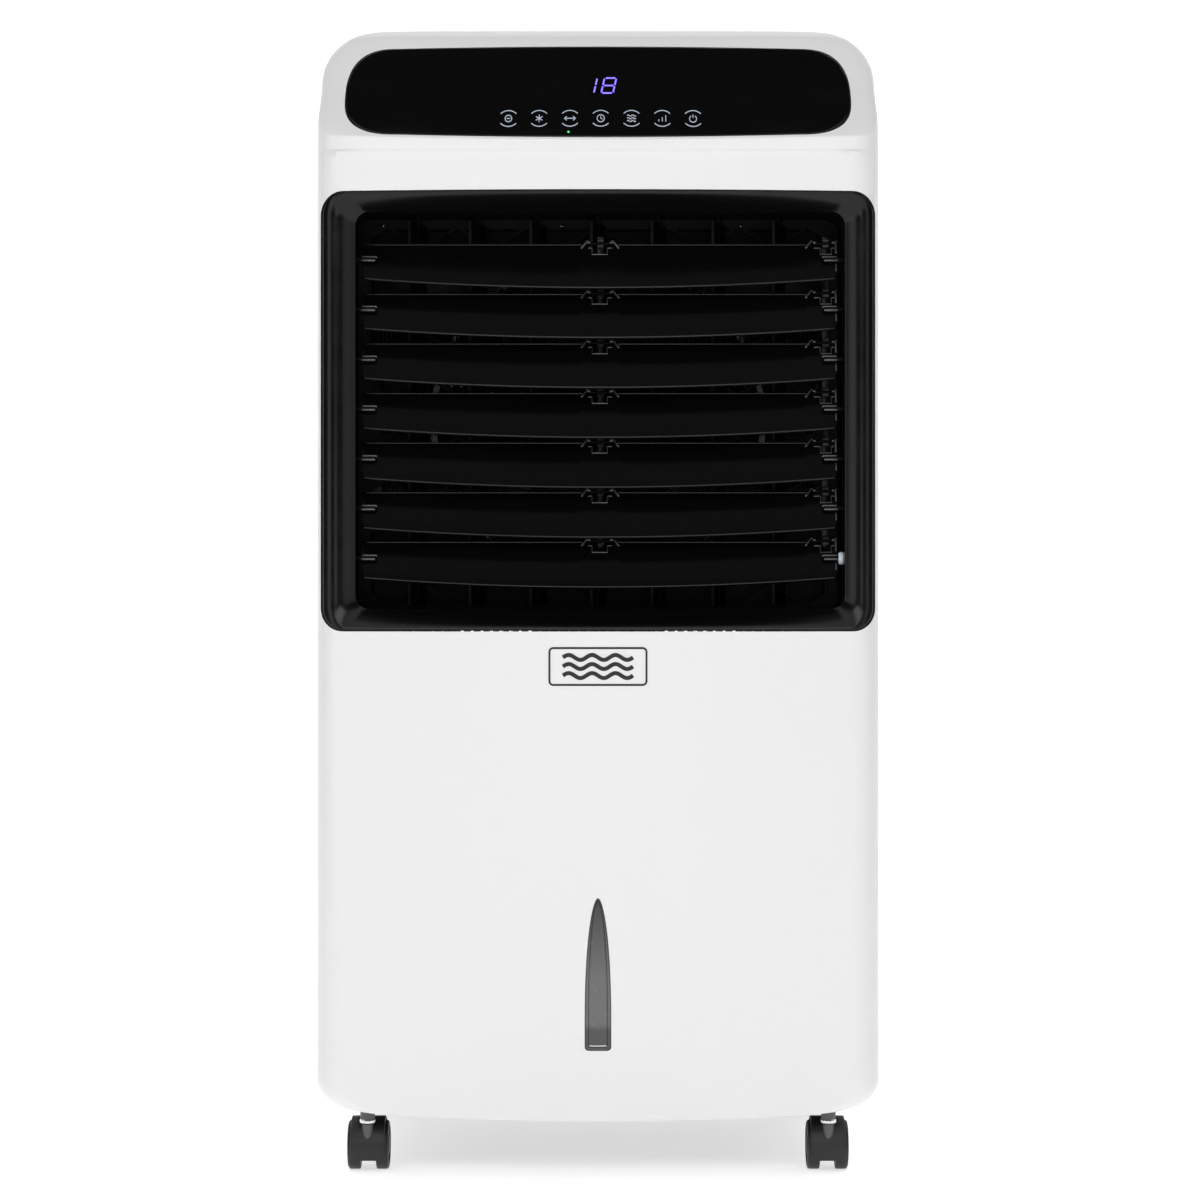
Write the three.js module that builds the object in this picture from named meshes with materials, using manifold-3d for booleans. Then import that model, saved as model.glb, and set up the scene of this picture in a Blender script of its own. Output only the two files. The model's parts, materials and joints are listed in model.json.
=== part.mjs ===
// Evaporative cooler on casters: a tall cabinet with swinging louvres, a fan, a wet pad and a water drawer.
// Millimetres, +Z up. The front faces -Y, and the origin is on the floor under the middle of the cabinet.
import * as THREE from "three";
import { mergeVertices } from "three/addons/utils/BufferGeometryUtils.js";
import Module from "manifold-3d";

const wasm = await Module();
wasm.setup();

// ---------------------------------------------------------------- driving dimensions
const WIDTH = 390;
const DEPTH = 330;
const HEIGHT = 800;
const HALF_W = WIDTH / 2;
const FRONT_Y = -DEPTH / 2; // the foremost line of the bowed front
const REAR_PROUD = 4; // the filter's tab and the cable gland stand this far out of the back wall
const REAR_Y = DEPTH / 2 - REAR_PROUD;
const WALL = 3;
const SEAM = 0.5; // gap between two casing mouldings
const BOW = 12; // how far the middle of the front stands ahead of its ends
const FRONT_CORNER = 25;
const REAR_CORNER = 18;
const TOP_ROUND = 39;
const REAR_TOP_ROUND = 12;
const SKIRT_Z = 44; // lower edge of the cabinet at its sides
const SKIRT_DROP = 4.5; // how far the lower edge hangs lower in the middle of the front
const SKIRT_ROUND = { across: 26, up: 20 };
const CREASE_Z = 704; // where the upright front ends
const CREASE_RISE = 2;
const SLOPE_Z = 711.7; // where the inclined control face starts
const SLOPE_RISE = 4.6;
const SLOPE_START_Y = FRONT_Y + 2;
const SLOPE_END_Y = -89;
const SLOPE_END_BOW = 2;
const FRONT_SEAM_Y = -80;
const REAR_SEAM_Y = 136;
const TOP_SEAM_Z = 706;

const BEZEL = { halfW: 191, bottom: 374.9, top: 676.6, corner: 15.5, rim: 10, backY: -136, seatY: -142.4 };
const OUTLET = { x: 1.5, halfW: 168.8, bottom: 390, top: 664, corner: 9.5 };
const OUTLET_Z = (OUTLET.bottom + OUTLET.top) / 2;
const DUCT = { halfW: 170.5, bottom: 387, top: 667, wall: 2.5, frontY: -142, backY: -70 };

const LOUVRES = 7;
const LOUVRE_PITCH = 34.56;
const LOUVRE_TOP_Z = 632.4; // pivot of the uppermost louvre
const LOUVRE_Y = -130;
const LOUVRE = { x: 1.1, halfL: 165.4, up: 12.5, down: 15.2, bow: 7.7, thick: 2.4, offset: 2.5, tilt: 30, endR: 5, beadR: 2.2 };
const EAR = { foot: 10.7, top: 17.4, slant: 4.7, front: 0.6, back: 2.2, pinZ: 15.5, pinR: 1.3, gapZ: 11.2, slotZ: 5.8 };
// Each ear: its top edge, the gap its pin crosses, and the narrower slot under the pin that clears the link.
const CENTRE_EAR = { top: [-7, 10], gap: [-6.3, 9.3], slot: [-3.8, 6.2] };
const RIGHT_EAR = { top: [149.2, 166.5], gap: [151, 164.2], slot: [155.2, 162.2] };
const LINK_X = { centre: 1.8, right: 158.7 };
const LINK = { width: 4.4, thick: 3, behind: 1.7, overrun: 5, holeR: 1.6, mouth: 2 };
const PIVOT = { bossR: 2.5, bossL: 10.5, stubR: 2, reach: 172.9, holeR: 2.4 };

const VANES = 7;
const VANE_PITCH = 42.6;
const VANE = { y: -90, chord: 37, thick: 2, bottom: 392, top: 662, turn: 14.5, pinAt: 15, notchAt: 10, notchH: 12 };
const VANE_LINK = { width: 6, thick: 3, holeR: 1.6, overrun: 5 };

const GUARD = { frontY: -69.5, thick: 2.6, rim: 9, bar: 2, pitchX: 50, pitchZ: 30 };
const HEATER = { frontY: -66.4, backY: -42.2, rim: 8, bars: 3, barH: 26, pitch: 52 };
const SHROUD = { halfW: 170, bottom: 385, top: 670, frontY: -41.6, plate: 3, boreR: 124, ring: 3, backY: 10, gap: 0.3 };
const FAN = { hubR: 38, frontY: -34, backY: 4, tipR: 117, blades: 7, rootChord: 40, tipChord: 70, rootPitch: 42, tipPitch: 23, thick: 2.2 };
const MOTOR = { r: 42, frontY: 14.8, backY: 74, shaftR: 4 };

const PAD = { halfW: 150, frontY: 95, backY: 135, bottom: 245, top: 690 };
const TROUGH = { halfW: 152, grow: 2, bottom: 692, top: 711, wall: 2 };
const TANK = { halfW: 156, frontY: -149, bottom: 57, top: 208, wall: 2.5 };
const DRAWER = { halfW: 158.6, bottom: 57, top: 238.6, thick: 3.6 };
const TANK_BAY = { halfW: 160, bottom: 55.5, top: 240 };
const GRIP = { halfW: 50, bottom: 212, top: 232, deep: 20, wall: 2 };
const PUMP = { x: -127, y: 80, sizeX: 46, sizeY: 60, sizeZ: 46, riserX: -140, spigotZ: 222, spigotY: 32, pipeR: 5 };
const HOSE_R = 5;

const FILTER = { halfW: 149, bottom: 331.2, top: 688.8, frontY: 158.2, backY: 162.8, rim: 15, slots: 18, columns: 3 };
const FILTER_TAB = { halfW: 22, drop: 6, height: 8 };
const FILTER_BAY = { halfW: 150, bottom: 330, top: 690 };
const GLAND = { x: 150, z: 285, r: 9, holeR: 3.6 };

const HAND_GRIP = { frontY: -40, backY: 70, bottom: 604, top: 634, deep: 16, wall: 2.2 };
const CASTER = { x: 159.4, frontY: -139.2, rearY: 118, trail: 15.2, wheelR: 17, halfW: 14.3, webHalfW: 5.1, hoodHalfW: 11.8, hoodR: 19.8, hoodWall: 1.8 };
const STEM = { r: 5.1, collarR: 5.6, collarBottom: 34.1, collarTop: 37.1, pinR: 2.6, pinBottom: 24, top: 52 };
const BASE = { bottom: 50, top: 54, bossR: 7.8, bossBottom: 43 };

const WHEEL_SIDES = 20;
const rad = THREE.MathUtils.degToRad;

// ---------------------------------------------------------------- solids
function toSolid(geometry) {
  const loose = geometry.index ? geometry.toNonIndexed() : geometry.clone();
  loose.deleteAttribute("normal");
  loose.deleteAttribute("uv");
  const merged = mergeVertices(loose, 1e-3);
  return new wasm.Manifold(
    new wasm.Mesh({
      numProp: 3,
      vertProperties: merged.attributes.position.array,
      triVerts: new Uint32Array(merged.index.array),
    }),
  );
}

function toGeometry(solid) {
  const { vertProperties, triVerts } = solid.getMesh();
  const geometry = new THREE.BufferGeometry();
  geometry.setAttribute("position", new THREE.BufferAttribute(vertProperties, 3));
  geometry.setIndex(new THREE.BufferAttribute(triVerts, 1));
  geometry.computeVertexNormals();
  return geometry;
}

const join = (solids) => solids.reduce((whole, next) => whole.add(next));
const cut = (solid, tools) => tools.reduce((left, tool) => left.subtract(tool), solid);

function box(x0, x1, y0, y1, z0, z1) {
  const block = new THREE.BoxGeometry(x1 - x0, y1 - y0, z1 - z0);
  return toSolid(block.translate((x0 + x1) / 2, (y0 + y1) / 2, (z0 + z1) / 2));
}

// Round rods along each axis; the two centre values are the other coordinates in X, Y, Z order.
function rodX(r, x0, x1, y, z, sides = 12) {
  const rod = new THREE.CylinderGeometry(r, r, x1 - x0, sides).rotateZ(Math.PI / 2);
  return toSolid(rod.translate((x0 + x1) / 2, y, z));
}

function rodY(r, y0, y1, x, z, sides = 12) {
  const rod = new THREE.CylinderGeometry(r, r, y1 - y0, sides);
  return toSolid(rod.translate(x, (y0 + y1) / 2, z));
}

function rodZ(r, z0, z1, x, y, sides = 12, topR = r) {
  const rod = new THREE.CylinderGeometry(topR, r, z1 - z0, sides).rotateX(Math.PI / 2);
  return toSolid(rod.translate(x, y, (z0 + z1) / 2));
}

// A front-view outline (x, z), given depth from y0 to y1.
function plateXZ(shape, y0, y1, curveSegments = 5) {
  const plate = new THREE.ExtrudeGeometry(shape, { depth: y1 - y0, bevelEnabled: false, curveSegments });
  return toSolid(plate.rotateX(Math.PI / 2).translate(0, y1, 0));
}

// A side-view outline (y, z), given width from x0 to x1.
function plateYZ(shape, x0, x1, curveSegments = 5) {
  const plate = new THREE.ExtrudeGeometry(shape, { depth: x1 - x0, bevelEnabled: false, curveSegments });
  return toSolid(plate.rotateX(Math.PI / 2).rotateZ(Math.PI / 2).translate(x0, 0, 0));
}

function roundedRect(halfW, bottom, top, r, x = 0) {
  const shape = new THREE.Shape();
  shape.absarc(x + halfW - r, bottom + r, r, -Math.PI / 2, 0);
  shape.absarc(x + halfW - r, top - r, r, 0, Math.PI / 2);
  shape.absarc(x - halfW + r, top - r, r, Math.PI / 2, Math.PI);
  shape.absarc(x - halfW + r, bottom + r, r, Math.PI, 1.5 * Math.PI);
  return shape;
}

// Closes a stack of equal loops, each counter-clockwise from above and the lowest first, into one solid.
function loft(loops) {
  const n = loops[0].length;
  const geometry = new THREE.BufferGeometry();
  const last = (loops.length - 1) * n;
  const index = [];
  for (let band = 0; band < last; band += n)
    for (let i = 0; i < n; i++) {
      const next = (i + 1) % n;
      index.push(band + i, band + next, band + n + next, band + i, band + n + next, band + n + i);
    }
  const cap = (loop) => THREE.ShapeUtils.triangulateShape(loop.map((p) => new THREE.Vector2(p.x, p.y)), []);
  cap(loops[0]).forEach(([a, b, c]) => index.push(a, c, b));
  cap(loops.at(-1)).forEach(([a, b, c]) => index.push(last + a, last + b, last + c));
  geometry.setAttribute("position", new THREE.Float32BufferAttribute(loops.flat().flatMap((p) => p.toArray()), 3));
  geometry.setIndex(index);
  return toSolid(geometry);
}

// ---------------------------------------------------------------- the cabinet's form
// One horizontal section: bowed front, rounded corners, flat sides and back. Inset moves it inwards.
function section({ halfW, frontY, bow, rearY }, inset) {
  const front = FRONT_CORNER - inset;
  const rear = REAR_CORNER - inset;
  const slope = (2 * bow * (halfW - front)) / HALF_W ** 2;
  const lean = Math.atan(slope);
  const endX = halfW - front * (1 - Math.sin(lean));
  const frontAt = (x) => frontY + bow * (x / HALF_W) ** 2;
  const points = [];
  const arcs = (cx, cy, r, from, to, steps) => {
    for (let i = 1; i <= steps; i++) {
      const a = from + ((to - from) * i) / steps;
      points.push(new THREE.Vector2(cx + r * Math.cos(a), cy + r * Math.sin(a)));
    }
  };
  const FRONT_STEPS = 8;
  for (let i = 0; i <= FRONT_STEPS; i++) {
    const x = endX * ((2 * i) / FRONT_STEPS - 1);
    points.push(new THREE.Vector2(x, frontAt(x)));
  }
  const cx = halfW - front;
  const cy = frontAt(endX) + front * Math.cos(lean);
  arcs(cx, cy, front, -Math.PI / 2 + lean, 0, 5);
  points.push(new THREE.Vector2(halfW, rearY - rear));
  arcs(halfW - rear, rearY - rear, rear, 0, Math.PI / 2, 4);
  points.push(new THREE.Vector2(-halfW + rear, rearY));
  arcs(-halfW + rear, rearY - rear, rear, Math.PI / 2, Math.PI, 4);
  points.push(new THREE.Vector2(-halfW, cy));
  arcs(-cx, cy, front, Math.PI, 1.5 * Math.PI - lean, 5);
  points.pop(); // the last arc ends on the first front point
  return points;
}

// How far back the inclined face stands at height z, at the side position x.
function slopeY(x, z) {
  const t = (z - SLOPE_Z) / (HEIGHT - SLOPE_Z);
  const bow = BOW + t * (SLOPE_END_BOW - BOW);
  return SLOPE_START_Y + t * (SLOPE_END_Y - SLOPE_START_Y) + bow * (x / HALF_W) ** 2;
}

// The whole cabinet as a solid, its skin moved inwards by inset. An inner form has no floor.
// The upright walls run up to the inclined face, which cuts across the rounded front corners.
function cabinetForm(inset) {
  const levels = [];
  const upright = { frontY: FRONT_Y + inset, bow: BOW, rearY: REAR_Y - inset, halfW: HALF_W - inset };
  const round = { across: SKIRT_ROUND.across - inset, up: SKIRT_ROUND.up - inset };
  const skirtTop = SKIRT_Z + SKIRT_ROUND.up;
  const footHalfW = HALF_W - SKIRT_ROUND.across;
  if (inset) levels.push({ ...upright, z: 0, halfW: footHalfW, rise: 0 });
  [0, 25, 50, 90].forEach((a) => {
    const drop = a || inset ? 0 : SKIRT_DROP;
    const z = skirtTop - round.up * Math.cos(rad(a)) - drop;
    levels.push({ ...upright, z, halfW: footHalfW + round.across * Math.sin(rad(a)), rise: drop });
  });
  const back = 1.3 * inset; // an inclined wall is this thick, measured along Y
  const roundZ = HEIGHT - TOP_ROUND;
  levels.push({ ...upright, z: CREASE_Z - inset / 2, rise: CREASE_RISE });
  [0, 0.13, 0.28, 0.45, 0.62].forEach((t) => {
    const z = THREE.MathUtils.lerp(SLOPE_Z, roundZ, t);
    levels.push({ ...upright, z, rise: SLOPE_RISE * (1 - t), slope: true });
  });
  const r = TOP_ROUND - inset;
  [0, 25, 47, 68, 90].forEach((a) => {
    const z = roundZ + r * Math.sin(rad(a));
    const over = Math.max(0, z + inset - (HEIGHT - REAR_TOP_ROUND));
    const rearDrop = REAR_TOP_ROUND - Math.sqrt(Math.max(0, REAR_TOP_ROUND ** 2 - over ** 2));
    const halfW = HALF_W - TOP_ROUND + r * Math.cos(rad(a));
    levels.push({ ...upright, z, halfW, rearY: REAR_Y - inset - rearDrop, rise: 0, slope: true });
  });
  return loft(
    levels.map((level) =>
      section(level, inset).map((p) => {
        const y = level.slope ? Math.max(p.y, slopeY(p.x, level.z) + back) : p.y;
        const rise = level.rise * (p.y < 0 ? Math.min(1, (p.x / level.halfW) ** 2) : 1);
        return new THREE.Vector3(p.x, y, level.z + rise);
      }),
    ),
  );
}

const form = cabinetForm(0);
const shell = form.subtract(cabinetForm(WALL));
const FAR = 500;

// The control glass seen from the front: almost straight long edges and full, squarish ends.
function glassOutline(grow) {
  const end = { x: 175.4, z: 744 };
  const upper = { x: 140.7, z: 783.5, middle: 785 };
  const lower = { x: 137, z: 716.2, middle: 713.6 };
  const FULLNESS = 2.6;
  const STEPS = 4;
  const quarter = (corner, a) => {
    const across = Math.cos(a) ** (2 / FULLNESS);
    const up = Math.sin(a) ** (2 / FULLNESS);
    return [corner.x + (end.x - corner.x) * across, end.z + (corner.z - end.z) * up];
  };
  const half = [[0, lower.middle], [lower.x / 2, lower.middle + (lower.z - lower.middle) / 4]];
  for (let i = STEPS; i > 0; i--) half.push(quarter(lower, (i / STEPS) * (Math.PI / 2)));
  for (let i = 0; i <= STEPS; i++) half.push(quarter(upper, (i / STEPS) * (Math.PI / 2)));
  half.push([upper.x / 2, upper.middle - (upper.middle - upper.z) / 4], [0, upper.middle]);
  const moved = half.map(([x, z]) => [x ? x * (1 + grow / end.x) : 0, z + (Math.sign(z - end.z) || 0) * grow]);
  const mirrored = moved.slice(1, -1).reverse().map(([x, z]) => [-x, z]);
  return new THREE.Shape([...moved, ...mirrored].map(([x, z]) => new THREE.Vector2(x, z)));
}

// The water window: a blade with a flat foot and a pointed tip.
function windowOutline(grow) {
  const foot = 88 - grow;
  const shoulder = 107;
  const tip = 192.2 + grow;
  const halfW = 9 + grow;
  const FOOT_R = 2.6;
  const STEPS = 7;
  const side = [];
  for (let i = 0; i < STEPS; i++) {
    const u = i / STEPS;
    side.push(new THREE.Vector2(halfW * (1 - u ** 2.2) ** 0.55, shoulder + u * (tip - shoulder)));
  }
  const shape = new THREE.Shape();
  shape.moveTo(-halfW + FOOT_R, foot);
  shape.absarc(halfW - FOOT_R, foot + FOOT_R, FOOT_R, -Math.PI / 2, 0);
  side.forEach((p) => shape.lineTo(p.x, p.y));
  shape.lineTo(0, tip);
  side.reverse().forEach((p) => shape.lineTo(-p.x, p.y));
  shape.absarc(-halfW + FOOT_R, foot + FOOT_R, FOOT_R, Math.PI, 1.5 * Math.PI);
  return shape;
}

// ---------------------------------------------------------------- casing
function frontShell() {
  const outlet = roundedRect(BEZEL.halfW + SEAM, BEZEL.bottom - SEAM, BEZEL.top + SEAM, BEZEL.corner);
  return cut(shell.intersect(box(-FAR, FAR, -FAR, FRONT_SEAM_Y, 0, FAR * 2)), [
    plateXZ(outlet, -FAR, FRONT_SEAM_Y + 1),
    plateXZ(glassOutline(SEAM), -FAR, FRONT_SEAM_Y + 1),
    plateXZ(windowOutline(0.4), -FAR, FRONT_SEAM_Y + 1),
  ]);
}

function topCover() {
  return shell.intersect(box(-FAR, FAR, FRONT_SEAM_Y + SEAM, FAR, TOP_SEAM_Z, FAR * 2));
}

// Side -1 is the left panel and 1 the right. Each has a sunken hand grip.
function sidePanel(side) {
  const wall = shell.intersect(
    box(side < 0 ? -FAR : 100, side < 0 ? -100 : FAR, FRONT_SEAM_Y + SEAM, REAR_SEAM_Y, 0, TOP_SEAM_Z - SEAM),
  );
  const { frontY, backY, bottom, top, deep, wall: skin } = HAND_GRIP;
  const span = (from, to) => (side < 0 ? [-to, -from] : [from, to]);
  const cup = box(...span(HALF_W - deep - skin, HALF_W - WALL / 2), frontY - skin, backY + skin, bottom - skin, top + skin);
  const hollow = box(...span(HALF_W - deep, HALF_W + 5), frontY, backY, bottom, top);
  return wall.add(cup).subtract(hollow);
}

function rearShell() {
  return cut(shell.intersect(box(-FAR, FAR, REAR_SEAM_Y + SEAM, FAR, 0, TOP_SEAM_Z - SEAM)), [
    box(-TANK_BAY.halfW, TANK_BAY.halfW, 0, FAR, TANK_BAY.bottom, TANK_BAY.top),
    box(-FILTER_BAY.halfW, FILTER_BAY.halfW, 0, FAR, FILTER_BAY.bottom, FILTER_BAY.top),
    rodY(GLAND.r - 2.6, 0, FAR, GLAND.x, GLAND.z, 16),
  ]);
}

const casterPlaces = [
  ["front_left", -1, CASTER.frontY],
  ["front_right", 1, CASTER.frontY],
  ["rear_left", -1, CASTER.rearY],
  ["rear_right", 1, CASTER.rearY],
].map(([name, side, y]) => ({ name, x: side * CASTER.x, y }));

function baseTray() {
  const floor = cabinetForm(WALL + 0.4).intersect(box(-FAR, FAR, -FAR, FAR, BASE.bottom, BASE.top));
  const bosses = casterPlaces.map(({ x, y }) => rodZ(BASE.bossR, BASE.bossBottom, BASE.top - 1, x, y, 16));
  const holes = casterPlaces.map(({ x, y }) => rodZ(STEM.r + 0.3, 0, FAR, x, y));
  return cut(join([floor, ...bosses]), holes);
}

// The black frame round the outlet: flush with the cabinet outside, sloping in to the opening.
function louvreBezel() {
  const outer = plateXZ(roundedRect(BEZEL.halfW, BEZEL.bottom, BEZEL.top, BEZEL.corner), -FAR, BEZEL.backY);
  const ring = form.intersect(outer);
  const seat = BEZEL.seatY;
  const wide = roundedRect(BEZEL.halfW - BEZEL.rim, BEZEL.bottom + BEZEL.rim, BEZEL.top - BEZEL.rim, 12);
  const narrow = roundedRect(OUTLET.halfW, OUTLET.bottom, OUTLET.top, OUTLET.corner, OUTLET.x);
  const loopAt = (shape, y) => shape.getPoints(4).slice(0, -1).map((p) => new THREE.Vector3(p.x, -p.y, y));
  // The funnel is lofted upwards and then tipped over, so that it opens towards the front.
  const funnel = loft([loopAt(narrow, -seat - 4), loopAt(wide, -FRONT_Y + 6)].map((loop) => loop.reverse()));
  const tip = new THREE.Matrix4().makeRotationX(Math.PI / 2);
  return cut(ring, [
    funnel.transform(tip.elements),
    plateXZ(narrow, -FAR, 0),
    plateXZ(roundedRect(BEZEL.halfW - 3.4, BEZEL.bottom + 4, BEZEL.top - 4, 12), seat, 0),
  ]);
}

// ---------------------------------------------------------------- air outlet
const louvreZ = (i) => LOUVRE_TOP_Z - i * LOUVRE_PITCH;
const vaneX = (i) => (i - (VANES - 1) / 2) * VANE_PITCH;

function airDuct() {
  const { halfW, bottom, top, wall, frontY, backY } = DUCT;
  const tube = box(-halfW - wall, halfW + wall, frontY, backY, bottom - wall, top + wall).subtract(
    plateXZ(roundedRect(halfW, bottom, top, OUTLET.corner), -FAR, 0, 3),
  );
  const pivots = [...Array(LOUVRES).keys()].map((i) => rodX(PIVOT.holeR, -FAR, FAR, LOUVRE_Y, louvreZ(i), 8));
  const vanePins = [...Array(VANES).keys()].map((i) => rodZ(PIVOT.holeR, 0, FAR * 2, vaneX(i), VANE.y, 8));
  return cut(tube, [...pivots, ...vanePins]);
}

// A louvre hanging shut, its pivot axis on X, with a rounded bead along its top edge.
function louvreBlade() {
  const { x, halfL, up, down, bow, thick, offset, endR, beadR } = LOUVRE;
  const lowerEdge = (along) => -down - bow * (1 - along ** 2);
  const shape = new THREE.Shape();
  shape.moveTo(x - halfL, up);
  shape.lineTo(x - halfL, -down + endR);
  shape.absarc(x - halfL + endR, -down + endR, endR, Math.PI, 1.5 * Math.PI);
  for (let i = -3; i <= 3; i++) shape.lineTo(x + (i / 4) * halfL, lowerEdge(i / 4));
  shape.absarc(x + halfL - endR, -down + endR, endR, -Math.PI / 2, 0);
  shape.lineTo(x + halfL, up);
  const y0 = offset - thick / 2;
  const bead = rodX(beadR, x - halfL, x + halfL, y0 + beadR, up, 10);
  return plateXZ(shape, y0, y0 + thick, 2).add(bead);
}

// An ear stands up from the blade's top edge and carries the pin of a link bar.
function louvreEar({ top }, stepped) {
  const { foot, top: topZ, slant, front, back } = EAR;
  const { offset, thick } = LOUVRE;
  const shape = new THREE.Shape();
  shape.moveTo(top[0] - slant, foot);
  shape.lineTo(stepped ? top[1] : top[1] + slant, foot);
  shape.lineTo(top[1], topZ);
  shape.lineTo(top[0], topZ);
  const y0 = offset - thick / 2;
  return plateXZ(shape, y0 - front, y0 + thick + back, 1);
}

function louvre() {
  const { x, halfL, offset } = LOUVRE;
  const ears = [louvreEar(CENTRE_EAR, false), louvreEar(RIGHT_EAR, true)];
  const recesses = [CENTRE_EAR, RIGHT_EAR].flatMap(({ gap, slot }) => [
    box(gap[0], gap[1], -20, 20, EAR.gapZ, 30),
    box(slot[0], slot[1], -20, 20, EAR.slotZ, 30),
  ]);
  const pins = [CENTRE_EAR, RIGHT_EAR].map(({ gap }) => rodX(EAR.pinR, gap[0] - 0.5, gap[1] + 0.5, offset, EAR.pinZ, 8));
  const ends = [-1, 1].flatMap((side) => {
    const end = x + side * halfL;
    const span = (from, to) => (side < 0 ? [to, from] : [from, to]);
    return [
      rodX(PIVOT.bossR, ...span(end - side * PIVOT.bossL, end), 0, 0, 10),
      rodX(PIVOT.stubR, ...span(end - side, side * PIVOT.reach), 0, 0, 8),
    ];
  });
  return join([cut(join([louvreBlade(), ...ears]), recesses), ...pins, ...ends]);
}

// Where a louvre's link pin stands, measured from the louvre's pivot, with the louvre at its stored tilt.
const tilt = rad(LOUVRE.tilt);
const linkPin = {
  y: LOUVRE.offset * Math.cos(tilt) + EAR.pinZ * Math.sin(tilt),
  z: -LOUVRE.offset * Math.sin(tilt) + EAR.pinZ * Math.cos(tilt),
};

// An upright bar that snaps over one pin of every louvre with open hooks.
function louvreLink(x) {
  const y = LOUVRE_Y + linkPin.y;
  const half = LINK.width / 2;
  const pinZ = [...Array(LOUVRES).keys()].map((i) => louvreZ(i) + linkPin.z);
  const low = pinZ.at(-1) - LINK.overrun;
  const high = pinZ[0] + LINK.overrun;
  const bar = box(x - half, x + half, y + LINK.behind, y + LINK.behind + LINK.thick, low, high);
  const hooks = pinZ.map((z) => box(x - half, x + half, y - 2.2, y + LINK.behind + 1, z - 2.8, z + 2.8));
  const holes = pinZ.flatMap((z) => [
    rodX(LINK.holeR, x - FAR, x + FAR, y, z, 8),
    box(x - FAR, x + FAR, y - 5, y, z - LINK.mouth / 2, z + LINK.mouth / 2),
  ]);
  return cut(join([bar, ...hooks]), holes);
}

function louvreMotor() {
  const z = louvreZ(LOUVRES - 1);
  const { halfW, wall } = DUCT;
  const can = rodX(11, halfW + wall + 0.6, 185, LOUVRE_Y, z, 16);
  const ears = box(halfW + wall + 0.6, halfW + wall + 2.6, LOUVRE_Y - 3.5, LOUVRE_Y + 3.5, z - 17, z + 17);
  return join([can, ears]);
}

function louvreCoupling() {
  const z = louvreZ(LOUVRES - 1);
  return rodX(4.35, 166.9, 170.2, LOUVRE_Y, z, 16).subtract(rodX(PIVOT.stubR + 0.3, 160, 180, LOUVRE_Y, z, 8));
}

// An upright vane on its own axis, facing straight ahead. The link rides in the notch of its rear edge.
function vane() {
  const { chord, thick, bottom, top, pinAt, notchAt, notchH } = VANE;
  const half = chord / 2;
  const blade = box(-thick / 2, thick / 2, -half, half, bottom, top);
  const notch = box(-5, 5, notchAt, half + 1, OUTLET_Z - notchH / 2, OUTLET_Z + notchH / 2);
  return join([
    blade.subtract(notch),
    rodZ(EAR.pinR, OUTLET_Z - notchH / 2 - 1, OUTLET_Z + notchH / 2 + 1, 0, pinAt, 8),
    rodZ(PIVOT.stubR, bottom - 7, top + 7, 0, 0, 8),
  ]);
}

function vaneLink() {
  const turn = rad(VANE.turn);
  const y = VANE.y + VANE.pinAt * Math.cos(turn);
  const shift = VANE.pinAt * Math.sin(turn);
  const z0 = OUTLET_Z - VANE_LINK.thick / 2;
  const reach = vaneX(VANES - 1) + VANE_LINK.overrun;
  const bar = box(-reach + shift, reach + shift, y - VANE_LINK.width / 2, y + VANE_LINK.width / 2, z0, z0 + VANE_LINK.thick);
  const holes = [...Array(VANES).keys()].map((i) => rodZ(VANE_LINK.holeR, 0, FAR * 2, vaneX(i) + shift, y, 8));
  return cut(bar, holes);
}

// A guard of slanting bars that cross in wide diamonds, in a flat rim.
function guardGrille() {
  const { frontY, thick, rim, bar, pitchX, pitchZ } = GUARD;
  const { halfW, bottom, top, wall } = DUCT;
  const x1 = halfW + wall;
  const [z0, z1] = [bottom - wall, top + wall];
  const plate = box(-x1, x1, frontY, frontY + thick, z0, z1);
  const field = box(-x1 + rim, x1 - rim, -FAR, 0, z0 + rim, z1 - rim);
  const slope = Math.atan2(pitchZ, pitchX);
  const reachX = pitchX / 2 - bar / 2 / Math.sin(slope);
  const reachZ = pitchZ / 2 - bar / 2 / Math.cos(slope);
  const diamond = new THREE.Shape(
    [[reachX, 0], [0, reachZ], [-reachX, 0], [0, -reachZ]].map(([x, z]) => new THREE.Vector2(x, z)),
  );
  const hole = plateXZ(diamond, frontY - 5, frontY + 8);
  const columns = Math.ceil((2 * x1) / pitchX);
  const rows = Math.ceil((2 * (z1 - z0)) / pitchZ);
  const holes = [];
  for (let row = -rows; row <= rows; row++)
    for (let column = -columns; column <= columns; column++) {
      const x = (column + (row % 2 ? 0.5 : 0)) * pitchX;
      const z = (row / 2) * pitchZ;
      if (Math.abs(x) < x1 && Math.abs(z) < (z1 - z0) / 2) holes.push(hole.translate([x, 0, OUTLET_Z + z]));
    }
  return plate.subtract(join(holes).intersect(field));
}

// ---------------------------------------------------------------- heater and fan
function heaterFrame() {
  const { frontY, backY, rim } = HEATER;
  const outer = box(-SHROUD.halfW, SHROUD.halfW, frontY, backY, SHROUD.bottom + 1, SHROUD.top - 1);
  const inner = box(-SHROUD.halfW + rim, SHROUD.halfW - rim, -FAR, 0, SHROUD.bottom + rim, SHROUD.top - rim);
  return outer.subtract(inner);
}

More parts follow.
